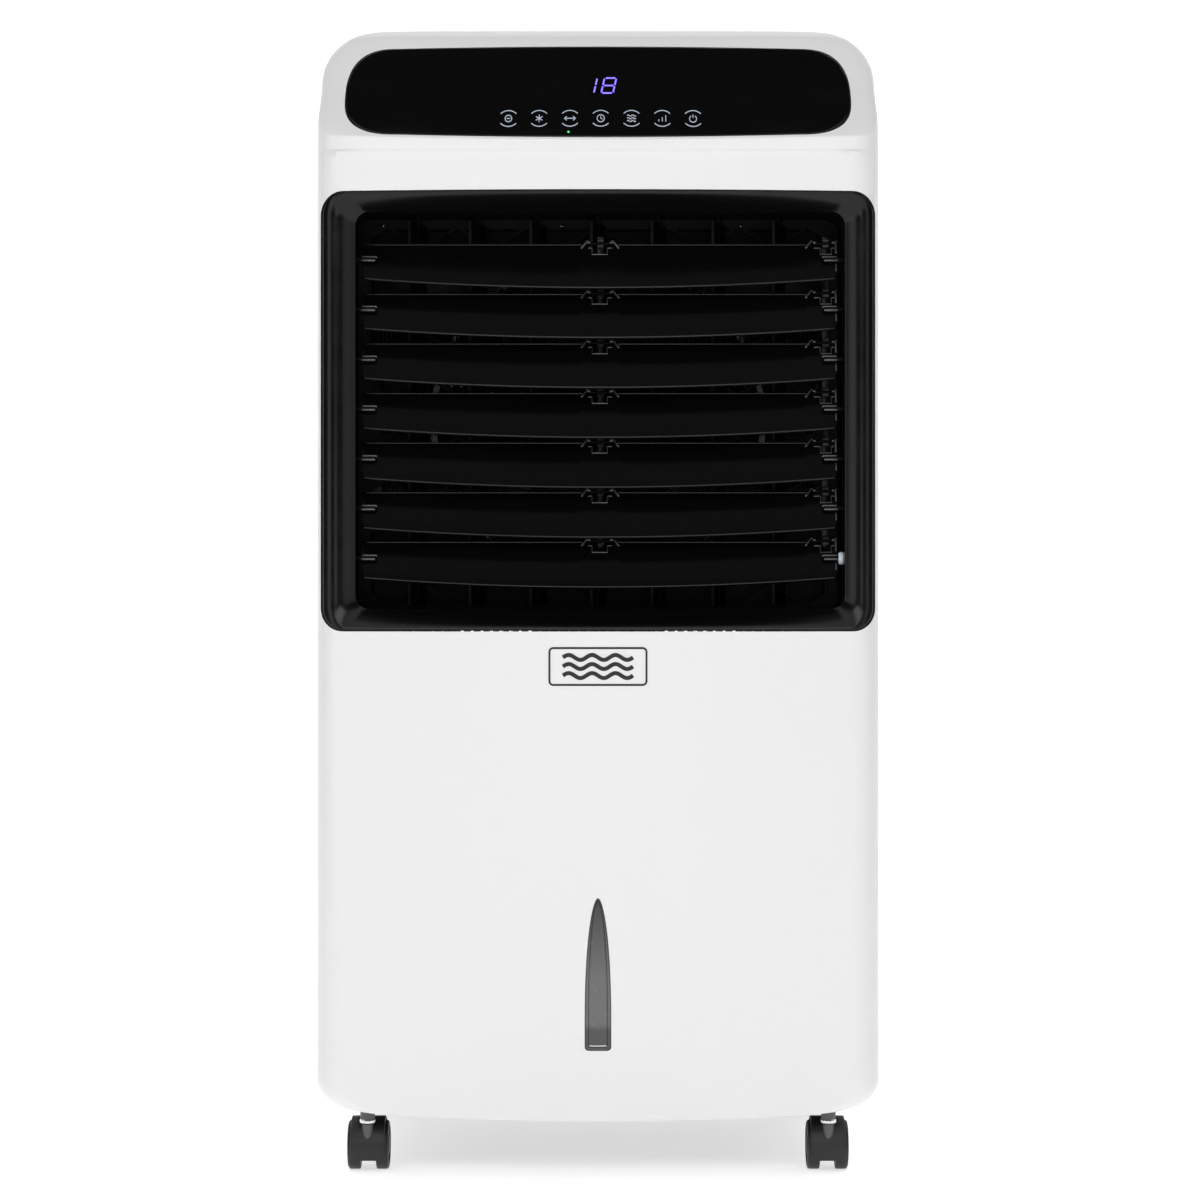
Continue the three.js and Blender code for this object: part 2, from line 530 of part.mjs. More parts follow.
function heaterCore() {
  const { frontY, backY, rim, bars, barH, pitch } = HEATER;
  const x1 = SHROUD.halfW - rim - 0.5;
  const y0 = frontY + 3;
  const y1 = backY - 3;
  const rows = [...Array(bars).keys()].map((i) => {
    const z = OUTLET_Z + (i - (bars - 1) / 2) * pitch;
    return box(-x1 + 4, x1 - 4, y0, y1, z - barH / 2, z + barH / 2);
  });
  const reach = ((bars - 1) / 2) * pitch + barH / 2 + 4;
  const ends = [-1, 1].map((side) => {
    const x = side * (x1 - 3.5);
    return box(x - 3.5, x + 3.5, y0 - 1, y1 + 1, OUTLET_Z - reach, OUTLET_Z + reach);
  });
  return join([...rows, ...ends]);
}

function fanShroud() {
  const { halfW, bottom, top, frontY, plate, boreR } = SHROUD;
  return box(-halfW, halfW, frontY, frontY + plate, bottom, top).subtract(rodY(boreR, -FAR, FAR, 0, OUTLET_Z, 32));
}

function fanRing() {
  const { frontY, plate, boreR, ring, backY, gap } = SHROUD;
  const collar = rodY(boreR + ring, frontY + plate + gap, backY, 0, OUTLET_Z, 48);
  return collar.subtract(rodY(boreR, -FAR, FAR, 0, OUTLET_Z, 48));
}

// The fan's blades are lofted outwards along Z and then turned about the fan's axis.
function fanImpeller() {
  const { hubR, frontY, backY, tipR, blades, rootChord, tipChord, rootPitch, tipPitch, thick } = FAN;
  const STATIONS = 4;
  const middleY = (frontY + backY) / 2;
  const hub = rodY(hubR, frontY, backY, 0, 0, 24).subtract(rodY(MOTOR.shaftR + 0.3, frontY + 5, FAR, 0, 0, 12));
  const blade = loft(
    [...Array(STATIONS).keys()].map((k) => {
      const t = k / (STATIONS - 1);
      const chord = THREE.MathUtils.lerp(rootChord, tipChord, t) / 2;
      const pitch = rad(THREE.MathUtils.lerp(rootPitch, tipPitch, t));
      const r = THREE.MathUtils.lerp(hubR - 3, tipR, t);
      const along = new THREE.Vector2(Math.cos(pitch), Math.sin(pitch)).multiplyScalar(chord);
      const across = new THREE.Vector2(-Math.sin(pitch), Math.cos(pitch)).multiplyScalar(thick / 2);
      const corner = (s, n) =>
        new THREE.Vector3(s * along.x + n * across.x, middleY + s * along.y + n * across.y, r);
      return [corner(-1, -1), corner(0, -1.6), corner(1, -1), corner(1, 1), corner(0, 0.4), corner(-1, 1)];
    }),
  );
  const turned = [...Array(blades).keys()].map((k) =>
    blade.transform(new THREE.Matrix4().makeRotationY((k / blades) * 2 * Math.PI).elements),
  );
  return join([hub, ...turned]);
}

function fanMotor() {
  const can = rodY(MOTOR.r, MOTOR.frontY, MOTOR.backY, 0, OUTLET_Z, 24);
  const boss = rodY(14, MOTOR.backY - 1, MOTOR.backY + 8, 0, OUTLET_Z, 16);
  const shaft = rodY(MOTOR.shaftR, FAN.frontY + 7, MOTOR.frontY + 1, 0, OUTLET_Z, 12);
  return join([can, boss, shaft]);
}

function motorBracket() {
  const y0 = SHROUD.backY + 0.4;
  const y1 = MOTOR.frontY - 0.4;
  const outer = SHROUD.boreR + SHROUD.ring;
  const ring = rodY(outer, y0, y1, 0, OUTLET_Z, 32).subtract(rodY(outer - 7, -FAR, FAR, 0, OUTLET_Z, 32));
  const arms = [-45, 45].map((a) => {
    const arm = new THREE.BoxGeometry(2 * (outer - 3), y1 - y0, 12).rotateY(rad(a));
    return toSolid(arm.translate(0, (y0 + y1) / 2, OUTLET_Z));
  });
  const disc = rodY(MOTOR.r + 4, y0, y1, 0, OUTLET_Z, 24);
  return join([ring, ...arms, disc]).subtract(rodY(MOTOR.shaftR + 4, -FAR, FAR, 0, OUTLET_Z, 12));
}

// ---------------------------------------------------------------- water
function dripTrough() {
  const { halfW, grow, bottom, top, wall } = TROUGH;
  const y0 = PAD.frontY - grow;
  const y1 = PAD.backY + grow;
  const outer = box(-halfW, halfW, y0, y1, bottom, top);
  const inner = box(-halfW + wall, halfW - wall, y0 + wall, y1 - wall, bottom + wall, FAR * 2);
  const HOLES = 7;
  const drips = [...Array(HOLES).keys()].map((i) =>
    rodZ(2, 0, FAR * 2, (i - (HOLES - 1) / 2) * 42, (y0 + y1) / 2, 6),
  );
  return cut(outer, [inner, ...drips]);
}

function waterTank() {
  const { halfW, frontY, bottom, top, wall } = TANK;
  const face = REAR_Y - DRAWER.thick;
  const tub = box(-halfW, halfW, frontY, face + 1, bottom, top).subtract(
    box(-halfW + wall, halfW - wall, frontY + wall, face - wall, bottom + wall, FAR),
  );
  const front = box(-DRAWER.halfW, DRAWER.halfW, face, REAR_Y, DRAWER.bottom, DRAWER.top);
  const { halfW: gripW, bottom: low, top: high, deep, wall: skin } = GRIP;
  const cup = box(-gripW - skin, gripW + skin, REAR_Y - deep - skin, REAR_Y - 1, low - skin, high + skin);
  return join([tub, front, cup]).subtract(box(-gripW, gripW, REAR_Y - deep, FAR, low, high));
}

// The pump stands in the tank. Its riser ends in a spigot that meets the hose when the drawer is shut.
function waterPump() {
  const { x, y, sizeX, sizeY, sizeZ, riserX, spigotZ, spigotY, pipeR } = PUMP;
  const z0 = TANK.bottom + TANK.wall + 0.4;
  const can = box(x - sizeX / 2, x + sizeX / 2, y - sizeY / 2, y + sizeY / 2, z0, z0 + sizeZ);
  const riser = rodZ(pipeR, z0 + sizeZ - 1, spigotZ + pipeR, riserX, y, 10);
  const spigot = rodY(pipeR - 1, spigotY, y, riserX, spigotZ, 10);
  return join([can, riser, spigot]);
}

function waterHose() {
  const x = PUMP.riserX;
  const sideX = -168;
  const padY = (PAD.frontY + PAD.backY) / 2;
  const route = new THREE.CatmullRomCurve3(
    [
      [x, PUMP.spigotY - 0.5, PUMP.spigotZ],
      [x, 14, PUMP.spigotZ],
      [x - 12, -2, PUMP.spigotZ + 16],
      [sideX, 10, 262],
      [sideX, 66, 292],
      [sideX, padY - 8, 330],
      [sideX, padY, 380],
      [sideX, padY, 540],
      [sideX, padY, 680],
      [sideX, padY, 708],
      [sideX + 8, padY, 718],
      [-TROUGH.halfW + 8, padY, 719],
    ].map((p) => new THREE.Vector3(...p)),
  );
  const round = new THREE.Shape().absarc(0, 0, HOSE_R, 0, 2 * Math.PI);
  return new THREE.ExtrudeGeometry(round, { extrudePath: route, steps: 28, curveSegments: 4, bevelEnabled: false });
}

// ---------------------------------------------------------------- rear
function filterFrame() {
  const { halfW, bottom, top, frontY, backY, rim, slots, columns } = FILTER;
  const plate = box(-halfW, halfW, frontY, backY, bottom, top);
  const gapX = 8;
  const slotW = (2 * (halfW - rim) - (columns - 1) * gapX) / columns;
  const pitchZ = (top - bottom - 2 * rim) / slots;
  const SLAT = 5;
  const holes = [];
  for (let c = 0; c < columns; c++)
    for (let s = 0; s < slots; s++) {
      const x = -halfW + rim + c * (slotW + gapX);
      const z = bottom + rim + s * pitchZ + SLAT / 2;
      holes.push(box(x, x + slotW, 0, FAR, z, z + pitchZ - SLAT));
    }
  const tab = box(
    -FILTER_TAB.halfW, FILTER_TAB.halfW,
    backY - 1, REAR_Y + REAR_PROUD,
    top - FILTER_TAB.drop - FILTER_TAB.height, top - FILTER_TAB.drop,
  );
  return cut(plate, holes).add(tab);
}

function cableGland() {
  const { x, z, r, holeR } = GLAND;
  const flange = rodY(r, REAR_Y + 0.4, REAR_Y + REAR_PROUD, x, z, 16);
  const neck = rodY(r - 3, REAR_Y - WALL - 5, REAR_Y + 1, x, z, 16);
  return join([flange, neck]).subtract(rodY(holeR, 0, FAR, x, z, 12));
}

// ---------------------------------------------------------------- casters
function casterStem({ x, y }) {
  return join([
    rodZ(STEM.r, STEM.collarTop - 0.5, STEM.top, x, y, 12),
    rodZ(STEM.collarR, STEM.collarBottom, STEM.collarTop, x, y, 16),
    rodZ(STEM.pinR, STEM.pinBottom, STEM.collarBottom + 1, x, y, 10),
  ]);
}

// The hood covers both wheels. Its web carries the axle, and its front boss turns on the stem.
function casterHood({ x, y }) {
  const { trail, wheelR, hoodHalfW, hoodR, hoodWall, webHalfW } = CASTER;
  const axleY = y + trail;
  const LIP = rad(206); // the front lip, measured round from the rear
  const TAIL = rad(25);
  const ring = (r) => {
    const fan = new THREE.Shape();
    fan.moveTo(axleY, wheelR);
    fan.lineTo(axleY + r * Math.cos(TAIL), wheelR + r * Math.sin(TAIL));
    fan.absarc(axleY, wheelR, r, TAIL, LIP);
    return fan;
  };
  const cover = plateYZ(ring(hoodR), x - hoodHalfW, x + hoodHalfW, 7);
  const hollow = plateYZ(ring(hoodR - hoodWall), x - FAR, x + FAR, 7);
  const web = plateYZ(ring(hoodR - 0.2), x - webHalfW, x + webHalfW, 7);
  const hub = rodX(5, x - webHalfW, x + webHalfW, axleY, wheelR, 12);
  const boss = rodZ(3.4, 16, STEM.collarBottom - 0.3, x, y, 12, 4.4);
  return cut(join([cover.subtract(hollow), web, hub, boss]), [
    rodX(2.4, x - FAR, x + FAR, axleY, wheelR, 8),
    rodZ(STEM.pinR + 0.3, STEM.pinBottom - 1, FAR, x, y, 10),
    rodZ(STEM.collarR + 0.4, STEM.collarBottom - 0.3, FAR, x, y, 16),
  ]);
}

// Both wheels and their axle as one turned piece, with a flat of the tread on the floor.
function casterWheels({ x, y }) {
  const { trail, wheelR, halfW, webHalfW } = CASTER;
  const cornerR = wheelR / Math.cos(Math.PI / WHEEL_SIDES);
  const inner = webHalfW + 0.5;
  const half = [[2, inner], [cornerR, inner], [cornerR, halfW - 2], [11, halfW], [0, halfW]];
  const profile = [...half.map(([r, w]) => [r, -w]).reverse(), ...half];
  const wheels = new THREE.LatheGeometry(profile.map(([r, w]) => new THREE.Vector2(r, w)), WHEEL_SIDES);
  wheels.rotateZ(-Math.PI / 2).rotateX(Math.PI / WHEEL_SIDES);
  return wheels.translate(x, y + trail, wheelR);
}

// ---------------------------------------------------------------- assembly
function finish(color, roughness, metalness = 0) {
  return new THREE.MeshStandardMaterial({ color, roughness, metalness });
}

const white = finish(0xf1f2f2, 0.3);
const gloss = finish(0x0b0b0c, 0.12);
const satin = finish(0x151617, 0.4);
const dark = finish(0x2b2c2d, 0.55);
const steel = finish(0xb9bcbf, 0.3, 1);
const nylon = finish(0xe6e8f2, 0.45);
const smoked = finish(0x5a5c5e, 0.15);
const tankPlastic = finish(0xd9dcde, 0.35);
const padPaper = finish(0x8a6a42, 0.9);
const green = finish(0x1f5c35, 0.5);

const cooler = new THREE.Group();
cooler.name = "evaporative_cooler";

function add(name, shape, material, place = {}) {
  const mesh = new THREE.Mesh(shape.isBufferGeometry ? shape : toGeometry(shape), material);
  mesh.name = name;
  if (place.position) mesh.position.set(...place.position);
  if (place.rotation) mesh.rotation.set(...place.rotation);
  cooler.add(mesh);
}

add("front_shell", frontShell(), white);
add("top_cover", topCover(), white);
add("side_panel_left", sidePanel(-1), white);
add("side_panel_right", sidePanel(1), white);
add("rear_shell", rearShell(), white);
add("base_tray", baseTray(), dark);
add("louvre_bezel", louvreBezel(), gloss);
add("control_panel", shell.intersect(plateXZ(glassOutline(0), -FAR, FRONT_SEAM_Y - 2)), gloss);
add("level_window", shell.intersect(plateXZ(windowOutline(0), -FAR, FRONT_SEAM_Y)), smoked);

add("air_duct", airDuct(), satin);
const louvreShape = toGeometry(louvre());
for (let i = 0; i < LOUVRES; i++)
  add(`louvre_${i + 1}`, louvreShape, gloss, { position: [0, LOUVRE_Y, louvreZ(i)], rotation: [-tilt, 0, 0] });
add("louvre_link_centre", louvreLink(LINK_X.centre), satin);
add("louvre_link_right", louvreLink(LINK_X.right), satin);
add("louvre_motor", louvreMotor(), steel);
add("louvre_coupling", louvreCoupling(), nylon);
const vaneShape = toGeometry(vane());
for (let i = 0; i < VANES; i++)
  add(`vane_${i + 1}`, vaneShape, satin, { position: [vaneX(i), VANE.y, 0], rotation: [0, 0, -rad(VANE.turn)] });
add("vane_link", vaneLink(), satin);
add("guard_grille", guardGrille(), satin);

add("heater_frame", heaterFrame(), steel);
add("heater_core", heaterCore(), steel);
add("fan_shroud", fanShroud(), dark);
add("fan_ring", fanRing(), dark);
add("fan_impeller", fanImpeller(), dark, { position: [0, 0, OUTLET_Z] });
add("fan_motor", fanMotor(), steel);
add("motor_bracket", motorBracket(), steel);

add("cooling_pad", box(-PAD.halfW, PAD.halfW, PAD.frontY, PAD.backY, PAD.bottom, PAD.top), padPaper);
add("drip_trough", dripTrough(), tankPlastic);
add("water_hose", waterHose(), tankPlastic);
add("water_pump", waterPump(), dark);
add("water_tank", waterTank(), tankPlastic);

add("filter_frame", filterFrame(), white);
add("filter_mesh", box(-140, 140, 155.4, 157, 341, 679), dark);
add("cable_gland", cableGland(), dark);

const boardTilt = Math.atan2(SLOPE_END_Y - SLOPE_START_Y, HEIGHT - SLOPE_Z);
add("control_board", new THREE.BoxGeometry(190, 1.6, 46), green, {
  position: [0, -114, 745],
  rotation: [-boardTilt, 0, 0],
});
add("ioniser", box(70, 118, -30, 0, 676, 694), dark);

for (const place of casterPlaces) {
  add(`caster_stem_${place.name}`, casterStem(place), steel);
  add(`caster_hood_${place.name}`, casterHood(place), dark);
  add(`caster_wheels_${place.name}`, casterWheels(place), dark);
}

export default cooler;
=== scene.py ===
"""The looks of a portable evaporative cooler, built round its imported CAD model.

Sizes are worked out in millimetres and become metres where a mesh is made. The front faces -Y and +Z is up.
"""

import json
import math
from math import cos, pi, radians, sin

import bmesh
import bpy
from mathutils import Matrix, Vector


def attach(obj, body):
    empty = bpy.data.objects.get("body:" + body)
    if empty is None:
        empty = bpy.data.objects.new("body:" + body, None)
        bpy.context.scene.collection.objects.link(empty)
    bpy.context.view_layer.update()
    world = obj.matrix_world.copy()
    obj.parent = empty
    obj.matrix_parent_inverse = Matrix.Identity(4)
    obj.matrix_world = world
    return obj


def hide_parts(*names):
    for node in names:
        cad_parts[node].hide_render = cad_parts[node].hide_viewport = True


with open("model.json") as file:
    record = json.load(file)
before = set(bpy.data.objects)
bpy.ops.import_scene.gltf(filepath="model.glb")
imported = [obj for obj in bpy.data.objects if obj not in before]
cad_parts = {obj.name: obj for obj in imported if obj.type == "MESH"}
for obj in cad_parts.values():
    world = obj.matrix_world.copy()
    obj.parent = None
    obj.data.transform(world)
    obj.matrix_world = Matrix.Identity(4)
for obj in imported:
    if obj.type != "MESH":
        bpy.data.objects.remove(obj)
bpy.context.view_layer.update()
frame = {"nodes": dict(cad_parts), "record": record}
BODY_OF = {node: body for body, nodes in frame["record"]["behaviour"]["bodies"].items() for node in nodes}
MM = 0.001

# ---------------------------------------------------------------- sizes of the cabinet
HALF_W, HEIGHT = 195.0, 800.0
FRONT_Y, REAR_Y = -165.0, 161.0
BOW, FRONT_CORNER, REAR_CORNER = 12.0, 25.0, 18.0
TOP_ROUND, REAR_TOP_ROUND = 39.0, 12.0
SKIRT_Z, SKIRT_DROP, SKIRT_ACROSS, SKIRT_UP = 44.0, 4.5, 26.0, 20.0
CREASE_Z, CREASE_RISE = 704.0, 2.0
SLOPE_Z, SLOPE_RISE = 711.7, 4.6
SLOPE_START_Y, SLOPE_END_Y, SLOPE_END_BOW = -163.0, -89.0, 2.0
WALL, SEAM = 3.0, 0.5
FRONT_SEAM_Y, REAR_SEAM_Y, TOP_SEAM_Z = -80.0, 136.0, 706.0
FAR = 500.0

BEZEL = {"half_w": 191.0, "bottom": 374.9, "top": 676.6, "corner": 15.5}
OUTLET = {"x": 1.5, "half_w": 168.8, "bottom": 390.0, "top": 664.0, "corner": 9.5}
LOUVRES, LOUVRE_PITCH, LOUVRE_TOP_Z, LOUVRE_Y, LOUVRE_TILT = 7, 34.56, 632.4, -130.0, radians(30)
LOUVRE = {
    "x": 1.1, "half_l": 165.4, "low": -15.2, "bow": 7.7, "face_y": 1.3, "back_y": 3.7, "bead_z": 12.5,
    "bead_r": 2.2, "end_r": 5.0
}
# Each ear of a louvre: its top edge, the gap its pin crosses, and the narrower slot under the pin.
EARS = (
    {"top": (-7.0, 10.0), "gap": (-6.3, 9.3), "slot": (-3.8, 6.2)},
    {"top": (149.2, 166.5), "gap": (151.0, 164.2), "slot": (155.2, 162.2)}
)
EAR_FOOT, EAR_TOP, EAR_SLANT, PIN_Z, GAP_Z, SLOT_Z = 10.7, 17.4, 4.7, 15.5, 11.2, 5.8
CASTER_PLACES = {
    "front_left": (-159.4, -139.2), "front_right": (159.4, -139.2), "rear_left": (-159.4, 118.0),
    "rear_right": (159.4, 118.0)
}
CASTER = {"trail": 15.2, "wheel_r": 17.0, "half_w": 14.3, "web": 5.1, "hood_half_w": 11.8, "hood_r": 19.8}
HAND_GRIP = {"front": -40.0, "back": 70.0, "bottom": 604.0, "top": 634.0, "deep": 16.0, "wall": 2.2}
TANK_BAY = {"half_w": 160.0, "bottom": 55.5, "top": 240.0}
FILTER_BAY = {"half_w": 150.0, "bottom": 330.0, "top": 690.0}
CABLE_HOLE = {"x": 150.0, "z": 285.0, "r": 6.4}
MESH = {"half_w": 140.0, "low": 341.0, "high": 679.0, "rim": 4.0, "pitch": 4.0, "front": 155.4, "back": 157.0}
PAD = {"sheets": 40, "pitch": 7.487, "left": -146.0, "y": 115.0, "z": 467.5, "half_h": 222.5}
PAD_WAVE = {"height": 4.1, "length": 20.0, "slant": 1.25, "half_paper": 0.25, "steps": 128}
HEATER = {"banks": 3, "bank_pitch": 52, "fins": 104, "fin_pitch": 3.04, "left": -156.5, "y": -54.3, "z": 475}


def lerp(a, b, t):
    return a + (b - a) * t


def smooth_max(a, b, k):
    """The larger of two values, rounded off where they cross."""
    return 0.5 * (a + b + math.hypot(a - b, k))


# ---------------------------------------------------------------- camera
def set_up_camera():
    lens = bpy.data.cameras.new("camera")
    lens.lens = 96.5
    lens.sensor_width = 36
    camera = bpy.data.objects.new("camera", lens)
    camera.location = (0.0014, -2.365, 0.396)
    camera.rotation_euler = (pi / 2, 0, 0)
    bpy.context.scene.collection.objects.link(camera)
    bpy.context.scene.camera = camera


set_up_camera()


# ---------------------------------------------------------------- finishes
class Wire:
    """A shader output that takes part in sums, so that a finish reads like arithmetic."""

    def __init__(self, finish, socket):
        self.finish, self.socket = finish, socket

    def maths(self, operation, *values):
        return self.finish.node("ShaderNodeMath", {"operation": operation}, dict(enumerate(values)))

    def __add__(self, other):
        return self.maths("ADD", self, other)

    def __rsub__(self, other):
        return self.maths("SUBTRACT", other, self)

    def __mul__(self, other):
        return self.maths("MULTIPLY", self, other)

    def __gt__(self, other):
        return self.maths("GREATER_THAN", self, other)

    __radd__, __rmul__ = __add__, __mul__


class Finish:
    """A material made of one principled shader and the nodes in front of it."""

    def __init__(self, name, **constants):
        self.material = bpy.data.materials.new(name)
        self.material.use_nodes = True
        self.tree = self.material.node_tree
        self.shader = self.tree.nodes["Principled BSDF"]
        for label, value in constants.items():
            self.shader.inputs[label.replace("_", " ")].default_value = value

    def node(self, kind, settings=None, values=None, output=0):
        """Adds a node, sets it up, joins or sets its inputs, and gives back one output."""
        made = self.tree.nodes.new(kind)
        for key, value in (settings or {}).items():
            if key == "stops":
                for stop, (at, colour) in zip(made.color_ramp.elements, value):
                    stop.position, stop.color = at, colour
            else:
                setattr(made, key, value)
        for key, value in (values or {}).items():
            self.join(made.inputs[key], value)
        return Wire(self, made.outputs[output])

    def join(self, socket, value):
        if isinstance(value, Wire):
            self.tree.links.new(value.socket, socket)
        else:
            socket.default_value = value

    def feed(self, label, value):
        self.join(self.shader.inputs[label], value)
        return self

    def place(self):
        return self.node("ShaderNodeTexCoord", output="Object")

    def along(self, axis):
        return self.node("ShaderNodeSeparateXYZ", values={0: self.place()}, output=axis)

    def noise(self, scale, detail=2.0, stretch=(1, 1, 1), rough=0.5):
        moved = self.node(
            "ShaderNodeMapping", {"vector_type": "POINT"}, {"Vector": self.place(), "Scale": stretch}
        )
        return self.node(
            "ShaderNodeTexNoise", None,
            {"Vector": moved, "Scale": scale, "Detail": detail, "Roughness": rough}
        )

    def cells(self, scale, feature="F1", output="Distance"):
        return self.node(
            "ShaderNodeTexVoronoi", {"feature": feature}, {"Vector": self.place(), "Scale": scale}, output
        )

    def spread(self, value, low, high, start=0.3, stop=0.7):
        """Stretches a value to run from low to high."""
        labels = {"Value": value, "From Min": start, "From Max": stop, "To Min": low, "To Max": high}
        return self.node("ShaderNodeMapRange", {"clamp": True}, labels, "Result")

    def blend(self, share, first, second):
        """Mixes two colours."""
        return self.node("ShaderNodeMix", {"data_type": "RGBA"}, {0: share, 6: first, 7: second}, 2)

    def bump(self, height, distance, strength=1.0):
        labels = {"Height": height, "Distance": distance, "Strength": strength}
        return self.feed("Normal", self.node("ShaderNodeBump", None, labels))


def grey(level, alpha=1.0):
    return (level, level, level, alpha)


def moulded(name, colour, shade, rough, spread, grain, depth, **constants):
    """Any moulded plastic: a faint cloudiness of colour, uneven gloss and a fine surface grain."""
    finish = Finish(name, **constants)
    clouds = finish.noise(9.0, 3.0)
    fine = finish.noise(160.0, 4.0)
    finish.feed("Base Color", finish.blend(finish.spread(clouds * 0.7 + fine * 0.3, 0.0, 1.0), colour, shade))
    finish.feed("Roughness", finish.spread(fine * 0.5 + clouds * 0.5, rough, rough + spread))
    return finish.bump(finish.noise(grain, 2.0), depth)


def casing_white():
    """Glossy white moulding with the faintest flow marks and a trace of dust at the foot."""
    finish = Finish("casing_white", Specular_IOR_Level=0.4)
    clouds = finish.noise(3.0, 2.0, (1, 1, 0.4))
    body = finish.blend(finish.spread(clouds, 0, 1), (0.812, 0.812, 0.814, 1), (0.822, 0.822, 0.822, 1))
    low_down = finish.spread(finish.along("Z"), 0.22, 0.0, 0.04, 0.1)
    foot = low_down * finish.spread(finish.noise(16, 4), 0.3, 1.0)
    finish.feed("Base Color", finish.blend(foot, body, (0.74, 0.735, 0.725, 1)))
    finish.feed("Roughness", finish.spread(clouds, 0.28, 0.32) + foot * 0.2)
    return finish.bump(finish.noise(2.0, 1.0), 0.00004)


def gloss_black(name, rough, shine):
    """High-gloss black with faint swirls of wiping and a few specks of dust."""
    finish = Finish(name, Specular_IOR_Level=shine)
    smear = finish.noise(14, 4, (1, 1, 3.5))
    dust = finish.cells(420) > 0.055
    specks = (1 - dust) * finish.spread(finish.noise(30, 2), 0.0, 0.7, 0.45, 0.7)
    finish.feed("Base Color", finish.blend(specks, (0.0022, 0.0022, 0.0026, 1), (0.014, 0.014, 0.015, 1)))
    finish.feed("Roughness", finish.spread(smear, rough, rough + 0.07) + specks * 0.2)
    return finish.bump(finish.noise(500, 1), 0.000004)


def window_smoke():
    """Smoked clear plastic: the tank's grey shows through below, and its floor as a darker band."""
    finish = Finish("window_smoke", Specular_IOR_Level=0.3)
    height = finish.along("Z")
    lit_share = finish.spread(height, 1.0, 0.0, 0.137, 0.193) * finish.spread(finish.noise(40, 3), 0.985, 1.0)
    pane = finish.blend(lit_share, grey(0.042), (0.15, 0.151, 0.153, 1))
    floor_band = finish.spread(height, 1.0, 0.0, 0.1015, 0.1055)
    finish.feed("Base Color", finish.blend(floor_band, pane, grey(0.083)))
    finish.feed("Roughness", finish.spread(finish.noise(90, 2), 0.24, 0.28))
    return finish.bump(finish.noise(300, 1), 0.000002)


def bare_steel():
    """Zinc-plated steel with its crystal pattern."""
    finish = Finish("bare_steel", Metallic=1.0)
    spangle = finish.cells(70, output="Color")
    level = finish.node("ShaderNodeRGBToBW", None, {0: spangle})
    finish.feed("Base Color", finish.blend(level, grey(0.42), (0.62, 0.63, 0.645, 1)))
    finish.feed("Roughness", finish.spread(level, 0.28, 0.46, 0, 1))
    return finish.bump(finish.noise(380, 3), 0.00003)


def chromed_steel():
    """Chrome with fine scuffs."""
    finish = Finish("chromed_steel", Metallic=1.0)
    scuffs = finish.noise(240, 4, (1, 1, 6))
    bright = finish.blend(finish.spread(scuffs, 0, 1), (0.62, 0.63, 0.64, 1), (0.78, 0.79, 0.8, 1))
    finish.feed("Base Color", bright)
    finish.feed("Roughness", finish.spread(scuffs, 0.08, 0.2))
    return finish.bump(scuffs, 0.00001)


def fins_painted_shade():
    """Aluminium fins painted near-black as painted shade of the duct's dim inside, with heat stains."""
    finish = Finish("fins_painted_shade", Metallic=1.0)
    stain = finish.noise(30, 4, (1, 1, 0.3))
    finish.feed("Base Color", finish.blend(finish.spread(stain, 0, 1), grey(0.03), (0.05, 0.05, 0.052, 1)))
    finish.feed("Roughness", finish.spread(stain, 0.4, 0.6))
    return finish.bump(finish.noise(900, 2), 0.00002)


def pad_paper():
    """Treated cellulose paper, stiff and brown, darker where it has been wet."""
    finish = Finish("pad_paper", Specular_IOR_Level=0.25)
    fibres = finish.noise(420, 5, (1, 0.2, 1))
    damp = finish.spread(finish.noise(7, 3) * 0.7 + (0.75 - finish.along("Z")) * 0.6, 0.0, 1.0, 0.35, 0.65)
    dry = finish.blend(finish.spread(fibres, 0, 1), (0.17, 0.1, 0.046, 1), (0.25, 0.16, 0.08, 1))
    finish.feed("Base Color", finish.blend(damp * 0.5, dry, (0.1, 0.058, 0.026, 1)))
    finish.feed("Roughness", finish.spread(fibres, 0.8, 0.95))
    return finish.bump(fibres, 0.0002)


def mesh_cloth():
    """Black filter netting that has caught some lint."""
    finish = Finish("mesh_cloth", Specular_IOR_Level=0.3)
    lint = finish.noise(60, 5)
    thread = finish.blend(finish.spread(lint, 0, 1, 0.5, 0.75), (0.02, 0.02, 0.022, 1), (0.1, 0.1, 0.1, 1))
    finish.feed("Base Color", thread)
    finish.feed("Roughness", finish.spread(lint, 0.6, 0.85))
    return finish.bump(finish.noise(1500, 2), 0.0001)


def circuit_board():
    """Green board with copper lanes under the varnish."""
    finish = Finish("circuit_board", Coat_Weight=0.4)
    lanes = finish.cells(180, "DISTANCE_TO_EDGE") > 0.09
    finish.feed("Base Color", finish.blend(lanes, (0.05, 0.2, 0.07, 1), (0.01, 0.07, 0.03, 1)))
    finish.feed("Roughness", finish.spread(finish.noise(200, 2), 0.3, 0.45))
    return finish.bump(lanes * 1.0, 0.00003)


def lit(name, colour, deep, strength):
    """A symbol lit from behind, with a slightly uneven glow."""
    finish = Finish(name, Emission_Strength=strength, Roughness=0.5)
    glow = finish.blend(finish.spread(finish.noise(300, 2), 0, 1), deep, colour)
    finish.feed("Base Color", finish.blend(finish.spread(finish.noise(200, 1), 0, 1), grey(0.02), grey(0.04)))
    return finish.feed("Emission Color", glow)


def studio_floor():
    """A pale backdrop that is lit from behind as well, so that shadows on it stay faint."""
    finish = Finish("studio_floor", Specular_IOR_Level=0.05, Emission_Strength=0.6)
    even = finish.spread(finish.noise(3, 3), 0, 1)
    finish.feed("Base Color", finish.blend(even, grey(0.9), grey(0.92)))
    finish.feed("Emission Color", finish.blend(even, grey(0.97), grey(1.0)))
    return finish.feed("Roughness", finish.spread(finish.noise(8, 2), 0.75, 0.9))


